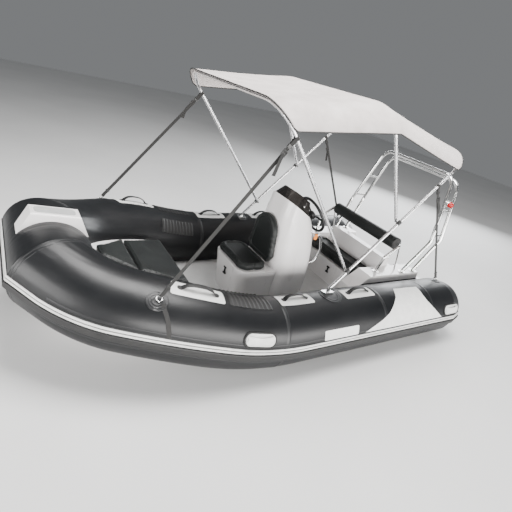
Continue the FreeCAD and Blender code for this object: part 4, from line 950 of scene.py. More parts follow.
def stitchRow(path, lift, length=0.0042, gap=0.0026, width=0.0011):
    # Short raised threads along a seam path of (point, normal) pairs.
    points, faces = [], []
    travelled = 0.0
    for (p, n), (q, m) in zip(path, path[1:]):
        run = (q - p).length
        travelled += run
        if travelled < length + gap:
            continue
        travelled = 0.0
        way = (q - p).normalized()
        across = n.cross(way).normalized() * width / 2
        end, top, ease = p + way * length, n * lift, way * 0.0006
        base = len(points)
        points += [p + across, p - across, end - across, end + across,
                   p + across * 0.6 + top + ease, p - across * 0.6 + top + ease,
                   end - across * 0.6 + top - ease, end + across * 0.6 + top - ease]
        faces += [tuple(base + k for k in quad)
                  for quad in ((4, 5, 6, 7), (0, 1, 5, 4), (1, 2, 6, 5), (2, 3, 7, 6), (3, 0, 4, 7))]
    return points, faces


def freeze(made):
    # The object's modifiers become its mesh.
    mesh = bpy.data.meshes.new_from_object(made.evaluated_get(bpy.context.evaluated_depsgraph_get()))
    made.modifiers.clear()
    made.data = mesh
    return mesh


def settlePad(name, spec):
    node = nodes[spec["node"]]
    mesh = node.data.copy()
    made = bpy.data.objects.new(name, mesh)
    bpy.context.scene.collection.objects.link(made)
    axes = padFrame(spec)
    low, high = (Vector(c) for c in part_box(spec["node"]))
    middle, half = (low + high) / 2, (high - low) / 2
    for vertex in mesh.vertices:
        for k in range(3):
            vertex.co[k] = middle[k] + (vertex.co[k] - middle[k]) * (1 - spec["shrink"] / half[k])
        vertex.co.y *= 1 + spec.get("spread", 0.0) / half.y
        if "skirt" in spec and vertex.co.z < low.z + stuffing["skirtFrom"]:
            vertex.co.z -= spec["skirt"]
    outline = padOutline(mesh, axes) if axes else None
    even = made.modifiers.new("even", "REMESH")
    even.mode = "VOXEL"
    even.voxel_size = stuffing["voxel"]
    mesh = freeze(made)
    swell(made, mesh, spec)
    if axes:
        heights = [v.co.dot(axes[2]) for v in node.data.vertices]
        lowest, highest = min(heights) + stuffing["seatGap"], max(heights) + stuffing["crownRise"]
        for vertex in mesh.vertices:
            height = vertex.co.dot(axes[2])
            vertex.co += axes[2] * (max(lowest, min(highest, height)) - height)
    made.modifiers.new("finer", "SUBSURF").levels = 1
    finer = freeze(made)
    if axes:
        sewTop(name, made, spec, axes, outline)
    finer.materials.clear()
    finer.materials.append(finishes["marineVinyl"])
    finer.shade_smooth()
    keepWith(made, spec["body"], "vinyl_black", spec["node"])


def sewTop(name, made, spec, axes, outline):
    ahead, across, up = axes
    vertices = made.data.vertices
    levels = [v.co.dot(up) for v in vertices]
    crown, rest = max(levels), min(levels)
    border = spec.get("border")
    for vertex in vertices if border else ():
        if vertex.co.dot(up) < (crown + rest) / 2:
            continue
        away = edgeAway(vertex.co.dot(ahead), vertex.co.dot(across), outline)
        if away < border - 0.02:
            continue
        pinch = 0.0045 * math.exp(-((away - border) / 0.0045) ** 2)
        vertex.co -= up * (spec["sunk"] * ramp((away - border + 0.006) / 0.016) + pinch)
    tree = BVHTree.FromPolygons([v.co.copy() for v in vertices], [tuple(p.vertices) for p in made.data.polygons])

    def onTop(inset):
        pairs = []
        for x, y in insetPath(outline, inset):
            start = ahead * x + across * y + up * (crown + 0.05)
            spot, facing, index, away = tree.ray_cast(start, -up, 0.2)
            if spot is not None:
                pairs.append((spot, facing))
        return pairs
    rows = []
    for inset, where in ((border, "panel"), (spec["welt"], "rim")):
        pairs = onTop(inset) if inset else []
        if len(pairs) < 12:
            continue
        path = [spot - up * 0.0004 for spot in eased([spot for spot, facing in pairs], 5, True)]
        welt = joinMesh(name + "_" + where, *tubeAlong(path, stuffing["weltRadius"], 8, True), "weltVinyl")
        keepWith(welt, spec["body"], "vinyl_black")
        rows.append(stitchRow(onTop(inset + stuffing["stitchGap"]), 0.0006))
    if rows:
        keepWith(joinMesh(name + "_thread", *gather(rows), "thread"), spec["body"], "vinyl_black")


def buildCushions():
    for name, spec in cushions.items():
        settlePad(name, spec)
    print("cushions stuffed and sewn")


# The three bows that carry the canopy, as (along, up) of hinge and crown.
bows = {"main": ((-0.152, 0.497), (-1.122, 1.572)), "middle": ((-0.628, 1.02453), (-0.197, 1.760)),
        "front": ((-0.280, 0.63886), (0.610, 1.655)), "bend": 0.190, "out": 0.668, "tube": 0.011}
canopy = {"ride": 0.005, "thick": 0.0014, "overhang": 0.020, "drop": 0.150, "across": 150, "between": 46,
          "sag": 0.012, "corner": 0.024, "welt": 0.0040, "flat": (1.52, 1.80),
          "seams": (0.055, 0.968, 1.032, 1.945),
          "hem": 0.012, "lift": 0.0045, "seamLift": 0.0048}
# Each bow's sleeve as place along the cloth, reach each way and middle.
sleeves = {"rows": ((0.0, 0.0, 0.055, 0.022), (1.0, -0.032, 0.032, 0.0), (2.0, -0.055, 0.0, -0.022)),
           "depth": 0.0345, "flat": 0.012, "slope": 0.022, "from": 0.075, "wide": 0.85}


def bowWay(name):
    (hx, hz), (tx, tz) = bows[name]
    return Vector((tx - hx, 0, tz - hz)).normalized()


def canopyHalf():
    # Half the cloth's width from hem to middle, and where its bend starts.
    rise = bows["tube"] + canopy["ride"]
    bend = bows["bend"] + rise
    first = math.asin(max(0.0, bend - rise - canopy["drop"]) / bend)
    turn = bend * (math.pi / 2 - first)
    return turn + bows["out"] + rise - bend, first, turn


halfWidth, bendStart, bendTurn = canopyHalf()


def sectionAt(length, lift):
    # A point of the section: how far out and how far above the crown, with its outward way.
    rise = bows["tube"] + canopy["ride"] + lift
    bend = bows["bend"] + rise
    half = bows["out"] + rise
    if length < bendTurn:
        angle = bendStart + (math.pi / 2 - bendStart) * length / bendTurn
        return (half - bend + bend * math.cos(angle), rise - bend + bend * math.sin(angle),
                math.cos(angle), math.sin(angle))
    share = (length - bendTurn) / (halfWidth - bendTurn)
    return (half - bend) * (1 - share), rise, 0.0, 1.0


def canopyPoint(u, v, lift, depth=0.0):
    # u runs 0 to 1 from port hem to starboard hem, v from the front edge 0 to the aft edge 2.
    length = min(u, 1 - u) * 2 * halfWidth
    edge = 0.9 * min(v, 2 - v)
    if edge < canopy["corner"]:
        cut = canopy["corner"] - math.sqrt(canopy["corner"] ** 2 - (canopy["corner"] - edge) ** 2)
        length = cut + length * (1 - cut / halfWidth)
    out, up, outward, upward = sectionAt(length, lift)
    out -= outward * depth
    up -= upward * depth
    names = ("front", "middle") if v <= 1 else ("middle", "main")
    t = v if v <= 1 else v - 1
    ends = []
    for name in names:
        top = bows[name][1]
        shift = {"front": canopy["overhang"], "middle": 0.0, "main": -canopy["overhang"]}[name]
        ends.append(Vector((top[0] + shift, 0, top[1])) + bowWay(name) * up)
    point = ends[0].lerp(ends[1], t)
    slack = math.sin(math.pi * t)
    crown = min(1.0, length / bendTurn)
    point.z -= canopy["sag"] * slack * crown * crown
    point.z += noise.noise(Vector((u * 5.0, v * 1.7, 1.7))) * 0.0030 * slack
    pull = noise.noise(Vector((u * 30.0 + v * 2.0, v * 2.2, 4.2))) * 0.0016 * (0.25 + 0.75 * slack)
    out += pull * outward - 0.007 * slack * (1 - crown)
    point.z += pull * upward
    point.y = out if u < 0.5 else -out
    return point


def clothGrid(rows, columns, lift):
    return [[canopyPoint(j / columns, 2 * i / rows, lift) for j in range(columns + 1)] for i in range(rows + 1)]


def sewCanopy():
    lines = [[canopyPoint(u, 0.02 + 1.96 * k / 400, canopy["seamLift"]) for k in range(401)]
             for u in (canopy["hem"], 1 - canopy["hem"])]
    lines += [[canopyPoint(0.006 + 0.988 * k / 620, v, canopy["seamLift"]) for k in range(621)]
              for v in canopy["seams"]]
    rows = []
    for line in lines:
        pairs = [(p, Vector((0, p.y * max(0.0, abs(p.y) - 0.46), 0.2)).normalized()) for p in line[:-1]]
        rows.append(stitchRow(pairs, 0.0009, 0.0050, 0.0030, 0.0013))
    return joinMesh("canopyThread", *gather(rows), "canopyThread")


def sewSleeves():
    # The sleeves that hold the bows, sewn to the underside.
    solids = []
    for at, low, high, centre in sleeves["rows"]:
        shifts = [low + (high - low) * k / 14 for k in range(15)]
        profile = [(at + shift, sleeves["depth"] * (1 - ramp((abs(shift - centre) - sleeves["flat"])
                                                             / sleeves["slope"]))) for shift in shifts]
        points = [canopyPoint(sleeves["from"] + sleeves["wide"] * k / 120, min(1.995, max(0.005, v)), 0.0025, depth)
                  for k in range(121) for v, depth in profile]
        solids.append((points, gridFaces(121, len(profile), False, 0, True)))
    points, faces = gather(solids)
    made = joinMesh("canopySleeves", points, faces, "canopyBand")
    layUv(made.data, lambda index: (points[index].y, points[index].x))
    return made


def buildCanopy():
    rows, columns = canopy["between"] * 2, canopy["across"]
    grid, under = (clothGrid(rows, columns, lift) for lift in (canopy["lift"], canopy["lift"] - canopy["thick"]))
    points = flat(grid) + flat(under)
    wide = columns + 1
    count = (rows + 1) * wide
    faces = gridFaces(rows + 1, wide, False) + gridFaces(rows + 1, wide, False, count, True)
    rim = list(range(wide)) + [i * wide + columns for i in range(1, rows + 1)]
    rim += [rows * wide + j for j in range(columns - 1, -1, -1)] + [i * wide for i in range(rows - 1, 0, -1)]
    faces += [(b, a, a + count, b + count) for a, b in zip(rim, rim[1:] + rim[:1])]
    cloth = joinMesh("canopyCloth", points, faces, "canopyCloth")
    width, length = canopy["flat"]
    layUv(cloth.data, lambda index: (index % count % wide / columns * width,
                                     index % count // wide / rows * length))
    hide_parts("canopy")
    edge = [(points[index] + points[index + count]) / 2 for index in rim]
    piping = joinMesh("canopyPiping", *tubeAlong(edge, canopy["welt"], 8, True), "piping")
    pieces = [piping, sewCanopy(), sewSleeves()]
    start, end = ((bows[name][1][0], 0, bows[name][1][1]) for name in ("main", "front"))
    for piece in [cloth] + pieces:
        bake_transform(piece)
        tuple(start)
        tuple(end)
    print("canopy sewn")


bandProfile = [(-0.5, 0), (-0.48, 0.42), (-0.42, 0.5), (-0.2, 0.56), (0, 0.58), (0.2, 0.56), (0.42, 0.5),
               (0.48, 0.42), (0.5, 0), (0.48, -0.42), (0.42, -0.5), (0, -0.5), (-0.42, -0.5), (-0.48, -0.42)]


def bandMesh(path, across, width, thick):
    # Points, faces and lie of a flat woven band along a path.
    points, lie = [], []
    travelled = 0.0
    for i, here in enumerate(path):
        before, after = path[max(0, i - 1)], path[min(len(path) - 1, i + 1)]
        travelled += (here - path[i - 1]).length if i else 0.0
        way = (after - before).normalized()
        side = across[i] if isinstance(across, list) else across
        side = (side - way * side.dot(way)).normalized()
        out = side.cross(way)
        for a, c in bandProfile:
            points.append(here + side * a * width + out * c * thick)
            lie.append((travelled, a * width))
    count = len(bandProfile)
    faces = gridFaces(len(path), count, True)
    faces += [tuple(range(count)), tuple(range((len(path) - 1) * count, len(path) * count))[::-1]]
    return points, faces, lie


def joinBands(name, bands):
    made = joinSolids(name, [band[:2] for band in bands], "webbing", 55)
    lie = [spot for band in bands for spot in band[2]]
    layUv(made.data, lambda index: lie[index])
    return made


def smoothPath(points, step=0.006, turns=10):
    # Listed corners become one eased line of close points.
    fine = []
    for p, q in zip(points, points[1:]):
        parts = max(1, int((q - p).length / step))
        fine += [p.lerp(q, k / parts) for k in range(parts)]
    return eased(fine + points[-1:], turns)


straps = {"width": 0.0245, "thick": 0.0016,
          "fore": {"ring": (1.13946, 0.71299, 0.59715), "eye": (0.4782, 0.638, 1.5045), "buckle": 0.905,
                   "tail": 0.10, "twist": 12.0, "node": "front_straps"},
          "aft": {"ring": (-1.44631, 0.67969, 0.48869), "eye": (-0.9009, 0.668, 1.3270), "buckle": 0.87,
                  "tail": 0.09, "twist": -6.0, "node": "aft_straps"}}


def plateMesh(centre, way, side, length, width, thick, rounded=0.25):
    # A soft-edged plate: outline rings stacked through its thickness.
    out = side.cross(way).normalized()
    corner = min(length, width) * rounded
    loops = []
    for inset, rise in ((0.0009, -0.5), (0.0, -0.32), (0.0, 0.32), (0.0009, 0.5)):
        loop = []
        for cx, cy, start in ((1, 1, 0), (-1, 1, 90), (-1, -1, 180), (1, -1, 270)):
            for k in range(5):
                angle = math.radians(start + 90 * k / 4)
                x = cx * (length / 2 - corner) + (corner - inset) * math.cos(angle)
                y = cy * (width / 2 - corner) + (corner - inset) * math.sin(angle)
                loop.append(centre + way * x + side * y + out * rise * thick)
        loops.append(loop)
    return flat(loops), gridFaces(4, 20, True) + [tuple(range(20))[::-1], tuple(range(60, 80))]


def strapPieces(label, spec, sign):
    ring, eye = (Vector((p[0], p[1] * sign, p[2])) for p in (spec["ring"], spec["eye"]))
    way = (eye - ring).normalized()
    ring = ring + way * 0.016
    side = Vector((0, 1, 0)).cross(way).normalized()
    out = side.cross(way).normalized()
    out = out if out.y * sign > 0 else -out
    length = (eye - ring).length
    thick, width = straps["thick"], straps["width"]
    side = side if side.cross(way).dot(out) > 0 else -side
    twist = Quaternion(way, math.radians(spec["twist"]) * sign)
    ringSide, ringOut = twist @ side, twist @ out
    # One band: down the back, round the ring's wire, and up the front to the sliding bar.
    path, across = [], []
    for k in range(70):
        share = k / 69
        turn = Quaternion(way, math.radians(spec["twist"]) * sign * max(0.0, (share - 0.80) / 0.20))
        path.append(eye - way * (0.016 + (length - 0.022) * share) - (turn @ out) * 0.0016)
        across.append(turn @ side)
    for angle in np.linspace(-70, 70, 9):
        a = math.radians(angle)
        path.append(ring - way * math.cos(a) * 0.0043 + ringOut * math.sin(a) * 0.0043)
        across.append(ringSide)
    for k in range(12):
        path.append(ring + way * (0.006 + 0.0052 * k) + ringOut * (0.0030 - 0.0001 * k))
        across.append(ringSide)
    buckleAt = ring + way * length * spec["buckle"]
    droop = Vector((0, 0, -1))
    tail = [buckleAt + way * 0.018 + out * 0.0022, buckleAt - way * 0.016 + out * 0.0034,
            buckleAt - way * 0.034 + out * 0.010 + droop * 0.002,
            buckleAt - way * 0.060 + out * 0.020 + droop * 0.010,
            buckleAt - way * 0.078 + out * 0.024 + droop * (spec["tail"] * 0.28),
            buckleAt - way * 0.086 + out * 0.020 + droop * (spec["tail"] * 0.55)]
    tail = smoothPath(tail, 0.005, 16)
    wrap = [eye - way * 0.072 + out * 0.0016, eye - way * 0.030 + out * 0.0050]
    wrap += [eye + (way * math.cos(a) + out * math.sin(a)) * 0.0127 for a in np.linspace(1.25, -1.25, 13)]
    wrap += [eye - way * 0.030 - out * 0.0050, eye - way * 0.072 - out * 0.0030]
    bands = [bandMesh(path, across, width, thick), bandMesh(tail, side, width, thick),
             bandMesh(wrap, side, width, thick)]
    end = "Port" if sign > 0 else "Starboard"
    band = joinBands(label + "Strap" + end, bands)
    solids = [plateMesh(buckleAt + way * shift + out * 0.0030, way, side, 0.0052, width + 0.010, 0.0044)
              for shift in (-0.0150, -0.0030, 0.0150)]
    solids += [plateMesh(buckleAt + side * edge * (width / 2 + 0.0032) + out * 0.0026, way, side, 0.036, 0.0050,
                         0.0056) for edge in (-1, 1)]
    solids.append(plateMesh(eye - way * 0.060, way, side, 0.026, width + 0.006, 0.0085))
    solids.append(plateMesh(ring + way * 0.058 + ringOut * 0.0004, way, ringSide, 0.013, width + 0.006, 0.0072))
    buckle = joinSolids(label + "Buckle" + end, solids, "blackPlastic")
    return ring, eye, way, band, buckle


def buildStraps():
    for label in ("fore", "aft"):
        spec = straps[label]
        for sign in (1, -1):
            ring, eye, way, band, buckle = strapPieces(label, spec, sign)
            for piece in (band, buckle):
                if label == "fore":
                    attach(piece, "boat")
                    tuple(way)
                    tuple(ring)
                    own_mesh(piece)
                else:
                    tuple(ring)
                    tuple(eye)
                    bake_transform(piece)
            if sign > 0:
                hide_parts(spec["node"])
    print("straps buckled")


def lathe(base, axis, profile, sides=40, reference=None):
    # A turned form: profile is a row of (height, radius) along the axis, closed at both ends.
    axis = axis.normalized()
    side = (reference or axis.orthogonal()).normalized()
    up = axis.cross(side)
    points = []
    for height, radius in profile:
        for k in range(sides):
            angle = 2 * math.pi * k / sides
            points.append(base + axis * height + (side * math.cos(angle) + up * math.sin(angle)) * radius)
    faces = gridFaces(len(profile), sides, True)
    last = (len(profile) - 1) * sides
    faces += [tuple(range(sides))[::-1], tuple(range(last, last + sides))]
    return points, faces


def boltHead(place, out, radius=0.0052, height=0.0034):
    return lathe(place, out, [(-0.0008, radius), (height * 0.45, radius), (height * 0.8, radius * 0.86),
                              (height, radius * 0.5), (height * 0.72, radius * 0.42),
                              (height * 0.72, 0.0002)], 18)


def washer(place, out, radius=0.009, height=0.0014):
    return lathe(place, out, [(-0.0008, radius), (height * 0.6, radius), (height, radius * 0.94),
                              (height, 0.0003)], 24)


# Rubber grab handles: an arch over each white pad, spread into a foot at each end.
grips = {"half": 0.1185, "rise": 0.0355, "bar": 0.0265, "foot": 0.036, "thick": 0.0075, "toe": 0.0042,
         "base": 0.0028, "from": 0.066, "over": 0.026, "end": 0.016, "arch": 0.094,
         "section": ((-0.5, 0.12), (-0.5, 0.62), (-0.44, 0.9), (-0.3, 1.0), (-0.1, 1.06), (0.1, 1.06), (0.3, 1.0),
                     (0.44, 0.9), (0.5, 0.62), (0.5, 0.12), (0.42, 0.0), (0.2, -0.02), (-0.2, -0.02), (-0.42, 0.0))}


def buildGrips():
    solids = []
    section = grips["section"]
    for x, tilt in pads["spots"]:
        middle, arc = alongAt(x), arcOf(tilt)
        points = []
        for s in np.linspace(-grips["half"], grips["half"], 89):
            away = abs(s)
            spread = ramp((away - grips["from"]) / grips["over"])
            end = max(0.0, (away - (grips["half"] - grips["end"])) / grips["end"])
            width = grips["bar"] + (grips["foot"] - grips["bar"]) * spread
            width *= math.sqrt(max(0.02, 1 - end * end * 0.97))
            thick = grips["thick"] + (grips["toe"] - grips["thick"]) * spread
            low = grips["base"] + grips["rise"] * max(0.0, 1.0 - (away / grips["arch"]) ** 2.7) ** 0.85
            points += [skinPoint(middle + s, (arc + a * width) / collar["radius"], low + c * thick)
                       for a, c in section]
        count = len(section)
        ends = [tuple(range(count)), tuple(range(88 * count, 89 * count))]
        solids += bothSides(points, gridFaces(89, count, True) + ends)
    keepWith(joinSolids("grabGrips", solids, "blackRubber", 50), "boat", "rubber_black", "grab_handles")
    print("grab handles moulded")


# Carrying handles low on the tubes: a white cupped grip in a black rubber surround.
lifts = {"spots": (0.545, -1.450), "tilt": 65.5, "grip": 0.0150, "lip": 0.0085, "dip": 0.016,
         "black": {"half": 0.118, "wide": 0.050,
                   "steps": ((0.0, 0.0004), (0.0004, 0.0066), (0.0030, 0.0102), (0.0070, 0.0108),
                             (0.0098, 0.0086), (0.0106, 0.0034), (0.0200, 0.0030))},
         "white": {"half": 0.105, "wide": 0.038,
                   "steps": ((0.0, 0.0012), (0.0003, 0.0094), (0.0020, 0.0124), (0.0050, 0.0130),
                             (0.0068, 0.0118), (0.0076, 0.0044), (0.0300, 0.0038))}}


def stadium(half, wide, steps=24):
    points = []
    for sign in (1, -1):
        for k in range(steps + 1):
            angle = -math.pi / 2 + math.pi * k / steps
            points.append((sign * (half - wide) + sign * wide * math.cos(angle), sign * wide * math.sin(angle)))
    return points


def fingerGrip(at, half, wide):
    # Its lower edge joins the rim; its upper edge dips to let the fingers in.
    grid = []
    inner, low = half - 0.011, wide - 0.0085
    for p in np.linspace(-inner, inner, 49):
        share = abs(p) / inner
        ends = math.sqrt(max(0.0, 1 - max(0.0, (abs(p) - (half - wide)) / wide) ** 2))
        edge = -low * ends + lifts["dip"] * max(0.0, 1 - share * share) ** 0.8
        row = [at(p, edge + 0.0016, 0.0052)]
        for m in range(8, -1, -1):
            crown = math.sin(math.pi * min(1.0, 0.12 + 0.80 * m / 8))
            row.append(at(p, edge + (low * ends - edge) * m / 8,
                          lifts["lip"] + (lifts["grip"] - lifts["lip"]) * crown ** 0.6))
        grid.append(row)
    return flat(grid), gridFaces(49, 10, False)


def buildLifts():
    parts = {"black": [], "white": []}
    for x in lifts["spots"]:
        middle, arc = alongAt(x), arcOf(lifts["tilt"])

        def at(p, q, rise):
            return skinPoint(middle + p, (arc + q) / collar["radius"], rise)
        for tone, solids in parts.items():
            half, wide = lifts[tone]["half"], lifts[tone]["wide"]
            rows = [[at(p, q, rise) for p, q in stadium(half - inset, wide - inset)]
                    for inset, rise in lifts[tone]["steps"]]
            count = len(rows[0])
            faces = gridFaces(7, count, True)
            if tone == "white":
                faces.append(tuple(range(6 * count, 7 * count)))
                solids += bothSides(*fingerGrip(at, half, wide))
            solids += bothSides(flat(rows), faces)
    keepWith(joinSolids("liftBases", parts["black"], "blackRubber", 45), "boat", "rubber_black")
    keepWith(joinSolids("liftGrips", parts["white"], "handleWhite", 50), "boat", "handle_white", "lifting_handles")
    print("carrying handles moulded")


wheel = {"hub": (-0.406, 0.0, 0.794), "out": (-0.87621, 0.0, 0.48191), "up": (0.48191, 0.0, 0.87621),
         "radius": 0.152, "rim": 0.0128, "spokes": (90, 210, 330), "grips": 36, "wave": 0.0009,
         "spoke": ((-0.5, 0.3), (-0.42, 0.8), (-0.2, 1.0), (0.0, 0.86), (0.2, 1.0), (0.42, 0.8), (0.5, 0.3),
                   (0.36, -0.2), (-0.36, -0.2)),
         "boss": ((-0.022, 0.020), (-0.021, 0.034), (-0.012, 0.0375), (0.004, 0.0375), (0.010, 0.034),
                  (0.012, 0.0305), (0.012, 0.0290)),
         "cap": ((0.0115, 0.0285), (0.0139, 0.0284), (0.0165, 0.0262), (0.0179, 0.020), (0.0184, 0.010),
                 (0.0185, 0.0006)),
         "shaft": ((-0.118, 0.0135), (-0.020, 0.0135), (-0.020, 0.018), (-0.014, 0.018), (-0.014, 0.012))}


def buildWheel():
    hub, out, up = (Vector(wheel[key]) for key in ("hub", "out", "up"))
    side = out.cross(up)

    def spoke(turn):
        angle = math.radians(turn)
        return up * math.cos(angle) + side * math.sin(angle)
    rim, count, sides = [], 216, 16
    for i in range(count):
        turn = 360 * i / count
        way = spoke(turn)
        wave = math.cos(math.radians(turn * wheel["grips"])) * wheel["wave"]
        for k in range(sides):
            c, d = math.cos(2 * math.pi * k / sides), math.sin(2 * math.pi * k / sides)
            radius = wheel["rim"] + wave * min(1.0, max(0.0, -c) + max(0.0, -d) * 0.6)
            rim.append(hub + way * (wheel["radius"] + radius * c) + out * radius * d)
    last = (count - 1) * sides
    faces = gridFaces(count, sides, True)
    faces += [(last + k, last + (k + 1) % sides, (k + 1) % sides, k) for k in range(sides)]
    solids = [(rim, faces), lathe(hub, out, wheel["boss"], 48)]
    for turn in wheel["spokes"]:
        way, points = spoke(turn), []
        across = out.cross(way)
        for k in range(29):
            share = k / 28
            reach = 0.026 + (wheel["radius"] - 0.030) * share
            width = 0.034 - 0.020 * math.sin(math.pi * min(1.0, share * 1.04)) ** 0.7 + 0.012 * share
            dish = -0.002 + 0.004 * math.sin(math.pi * share)
            points += [hub + way * reach + across * a * width + out * (dish + 0.0085 * c)
                       for a, c in wheel["spoke"]]
        solids.append((points, gridFaces(29, 9, True) + [tuple(range(9)), tuple(range(252, 261))]))
    keepWith(joinSolids("helmWheel", solids, "wheelGrip", 55), "steering", "wheel_black", "steering_wheel")
    cap, shaft = lathe(hub, out, wheel["cap"], 48), lathe(hub, out, wheel["shaft"], 32)
    keepWith(joinSolids("helmCap", [cap], "gaugeFace", 60), "steering", "wheel_black")
    keepWith(joinSolids("helmShaft", [shaft], "blackPlastic", 40), "steering", "wheel_black")
    print("steering wheel moulded")


dash = {"point": (-0.29385, 0.0, 0.73232), "face": 0.0144, "lock": (0.058, -0.044),
        "gauges": ((0.098, 0.040, 0.028), (-0.098, 0.040, 0.028)),
        "switches": ((-0.117, -0.040), (-0.089, -0.040), (0.089, -0.040), (0.117, -0.040)),
        "screws": ((-0.137, 0.076), (0.137, 0.076), (-0.137, -0.076), (0.137, -0.076))}


def buildDash():
    out, up, across = Vector(wheel["out"]), Vector(wheel["up"]), Vector((0, 1, 0))
    steel, glass, black, marks = [], [], [], []

    def spot(y, rise):
        return Vector(dash["point"]) + out * dash["face"] + across * y + up * rise

    def mark(centre, degrees, reach, rise, length, width, thick):
        angle = math.radians(degrees)
        way = up * math.cos(angle) + across * math.sin(angle)
        marks.append(plateMesh(centre + way * reach + out * rise, way, out.cross(way), length, width, thick))
    for y, rise, radius in dash["gauges"]:
        centre = spot(y, rise)
        ring = [(-0.001, radius + 0.004), (0.0042, radius + 0.004), (0.0060, radius + 0.0024),
                (0.0060, radius + 0.0006), (0.0034, radius - 0.0004), (0.0030, radius - 0.001)]
        steel.append(lathe(centre, out, ring, 56, up))
        glass.append(lathe(centre, out, [(-0.0005, radius), (0.0036, radius), (0.0037, 0.0004)], 48, up))
        for k in range(11):
            mark(centre, -130 + 26 * k, radius * 0.80, 0.0040, radius * 0.17, 0.0012, 0.0007)
        mark(centre, -118, radius * 0.28, 0.0044, radius * 0.62, 0.0013, 0.0008)
    for place in dash["switches"]:
        centre = spot(*place)
        black.append(plateMesh(centre + out * 0.001, up, across, 0.038, 0.021, 0.004))
        black.append(plateMesh(centre + out * 0.0042 + up * 0.004, (up + out * 0.16).normalized(), across,
                               0.026, 0.013, 0.006))
    lock = spot(*dash["lock"])
    barrel = [(-0.001, 0.0115), (0.004, 0.0115), (0.0062, 0.0095), (0.0062, 0.0035)]
    steel.append(lathe(lock, out, barrel, 32, up))
    marks.append(plateMesh(lock + out * 0.0064, up, across, 0.008, 0.0016, 0.0006))
    steel += [boltHead(spot(*place), out, 0.0036, 0.002) for place in dash["screws"]]
    for name, solids, finish, slot in (("gaugeRims", steel, "polishedSteel", "stainless"),
                                       ("gaugeFaces", glass, "gaugeFace", "dash_black"),
                                       ("dashSwitches", black, "blackPlastic", "dash_black"),
                                       ("gaugeMarks", marks, "gaugeMark", "dash_black")):
        keepWith(joinSolids(name, solids, finish, 35), "boat", slot)
    print("dash fitted out")


def surfaceOf(*names):
    meshes = [nodes[name].data for name in names]
    points, faces = gather([([v.co.copy() for v in mesh.vertices], [tuple(p.vertices) for p in mesh.polygons])
                            for mesh in meshes])
    return BVHTree.FromPolygons(points, faces)


def dropOn(tree, place, way, far=0.6):
    return tree.ray_cast(Vector(place), Vector(way).normalized(), far)[:2]


# Screws round each foot of the arch and of the roll's posts, where the flange meets the deck.
flanges = {"turns": (45, 135, 225, 315), "reach": 0.0225, "above": 0.05, "radius": 0.0040, "height": 0.0024}


def buildBolts():
    tree = surfaceOf("stern_arch", "bolster_frame")
    steel = []
    feet = [foot for name in ("stern_arch", "bolster_frame") for foot in flangeCentres(nodes[name].data)]
    for centre, normal in feet:
        side = normal.orthogonal().normalized()
        for turn in flanges["turns"]:
            angle = math.radians(turn)
            way = side * math.cos(angle) + normal.cross(side) * math.sin(angle)
            start = centre + way * flanges["reach"] + normal * flanges["above"]
            place, facing = dropOn(tree, start, -normal, 0.09)
            if place is not None and facing.dot(normal) > 0.9:
                steel.append(boltHead(place, normal, flanges["radius"], flanges["height"]))
    keepWith(joinSolids("flangeScrews", steel, "polishedSteel", 40), "boat", "stainless")
    print("flange screws:", len(steel))


def flangeCentres(mesh):
    # Middles of the flat rings that look up off a deck: large flat faces of one level.
    groups = {}
    for polygon in mesh.polygons:
        if polygon.normal.z > 0.93 and polygon.area > 0:
            key = tuple(round(place / size) for place, size in zip(polygon.center, (0.07, 0.07, 0.01)))
            groups.setdefault(key, []).append(polygon)
    found = []
    for members in groups.values():
        area = sum(p.area for p in members)
        if area < 0.0009:
            continue
        centre = sum((p.center * p.area for p in members), Vector()) / area
        normal = sum((p.normal * p.area for p in members), Vector()).normalized()
        if all((centre - other).length > 0.03 for other, facing in found):
            found.append((centre, normal))
    return found


def layOver(name, outline, tree, lift, thick, finish, slot, cell):
    # A thin flat shape laid from above onto whatever surface lies below it.
    work = cutCells(outline, cell)
    thicken(work, lambda x, y: thick)
    work.verts.index_update()
    points = []
    for vertex in work.verts:
        start = Vector((vertex.co.x, vertex.co.y, 1.2))
        place, normal = dropOn(tree, start, (0, 0, -1))
        if place is None:
            points.append(points[-1] if points else start)
        else:
            points.append(place + Vector((0, 0, lift + vertex.co.z)))
    faces = [tuple(v.index for v in face.verts) for face in work.faces]
    work.free()
    return keepWith(joinSolids(name, [(points, faces)], finish), "boat", slot)


def planHull(points):
    ordered = sorted(set((round(p[0], 4), round(p[1], 4)) for p in points))

    def half(row):
        chain = []
        for p in row:
            while len(chain) > 1 and ((chain[-1][0] - chain[-2][0]) * (p[1] - chain[-2][1])
                                      - (chain[-1][1] - chain[-2][1]) * (p[0] - chain[-2][0])) <= 0:
                chain.pop()
            chain.append(p)
        return chain[:-1]
    return half(ordered) + half(ordered[::-1])


# The moulded bow step's non-slip inset; its grey is painted shade where the step's top faces the dark roof.
step = {"inset": 0.020, "crown": 0.06, "cell": 0.012, "lift": 0.0002, "thick": 0.0014}


def buildStep():
    mesh = nodes["bow_step"].data
    top = [p for p in mesh.polygons if p.normal.z > 0.86]
    least = max(p.center.z for p in top) - step["crown"]
    crown = [mesh.vertices[i].co for p in top for i in p.vertices if mesh.vertices[i].co.z > least]
    shape = insetPath(planHull([(c.x, c.y) for c in crown]), step["inset"], step["cell"])
    layOver("stepTread", shape, surfaceOf("bow_step"), step["lift"], step["thick"], "treadGreyPaintedShade", "deck_grey",
            step["cell"])
    print("step tread laid")


edging = {"from": -0.655, "to": -1.440, "outer": 0.545, "inner": 0.40, "above": 0.75, "lowest": 0.20,
          "radius": 0.0052}


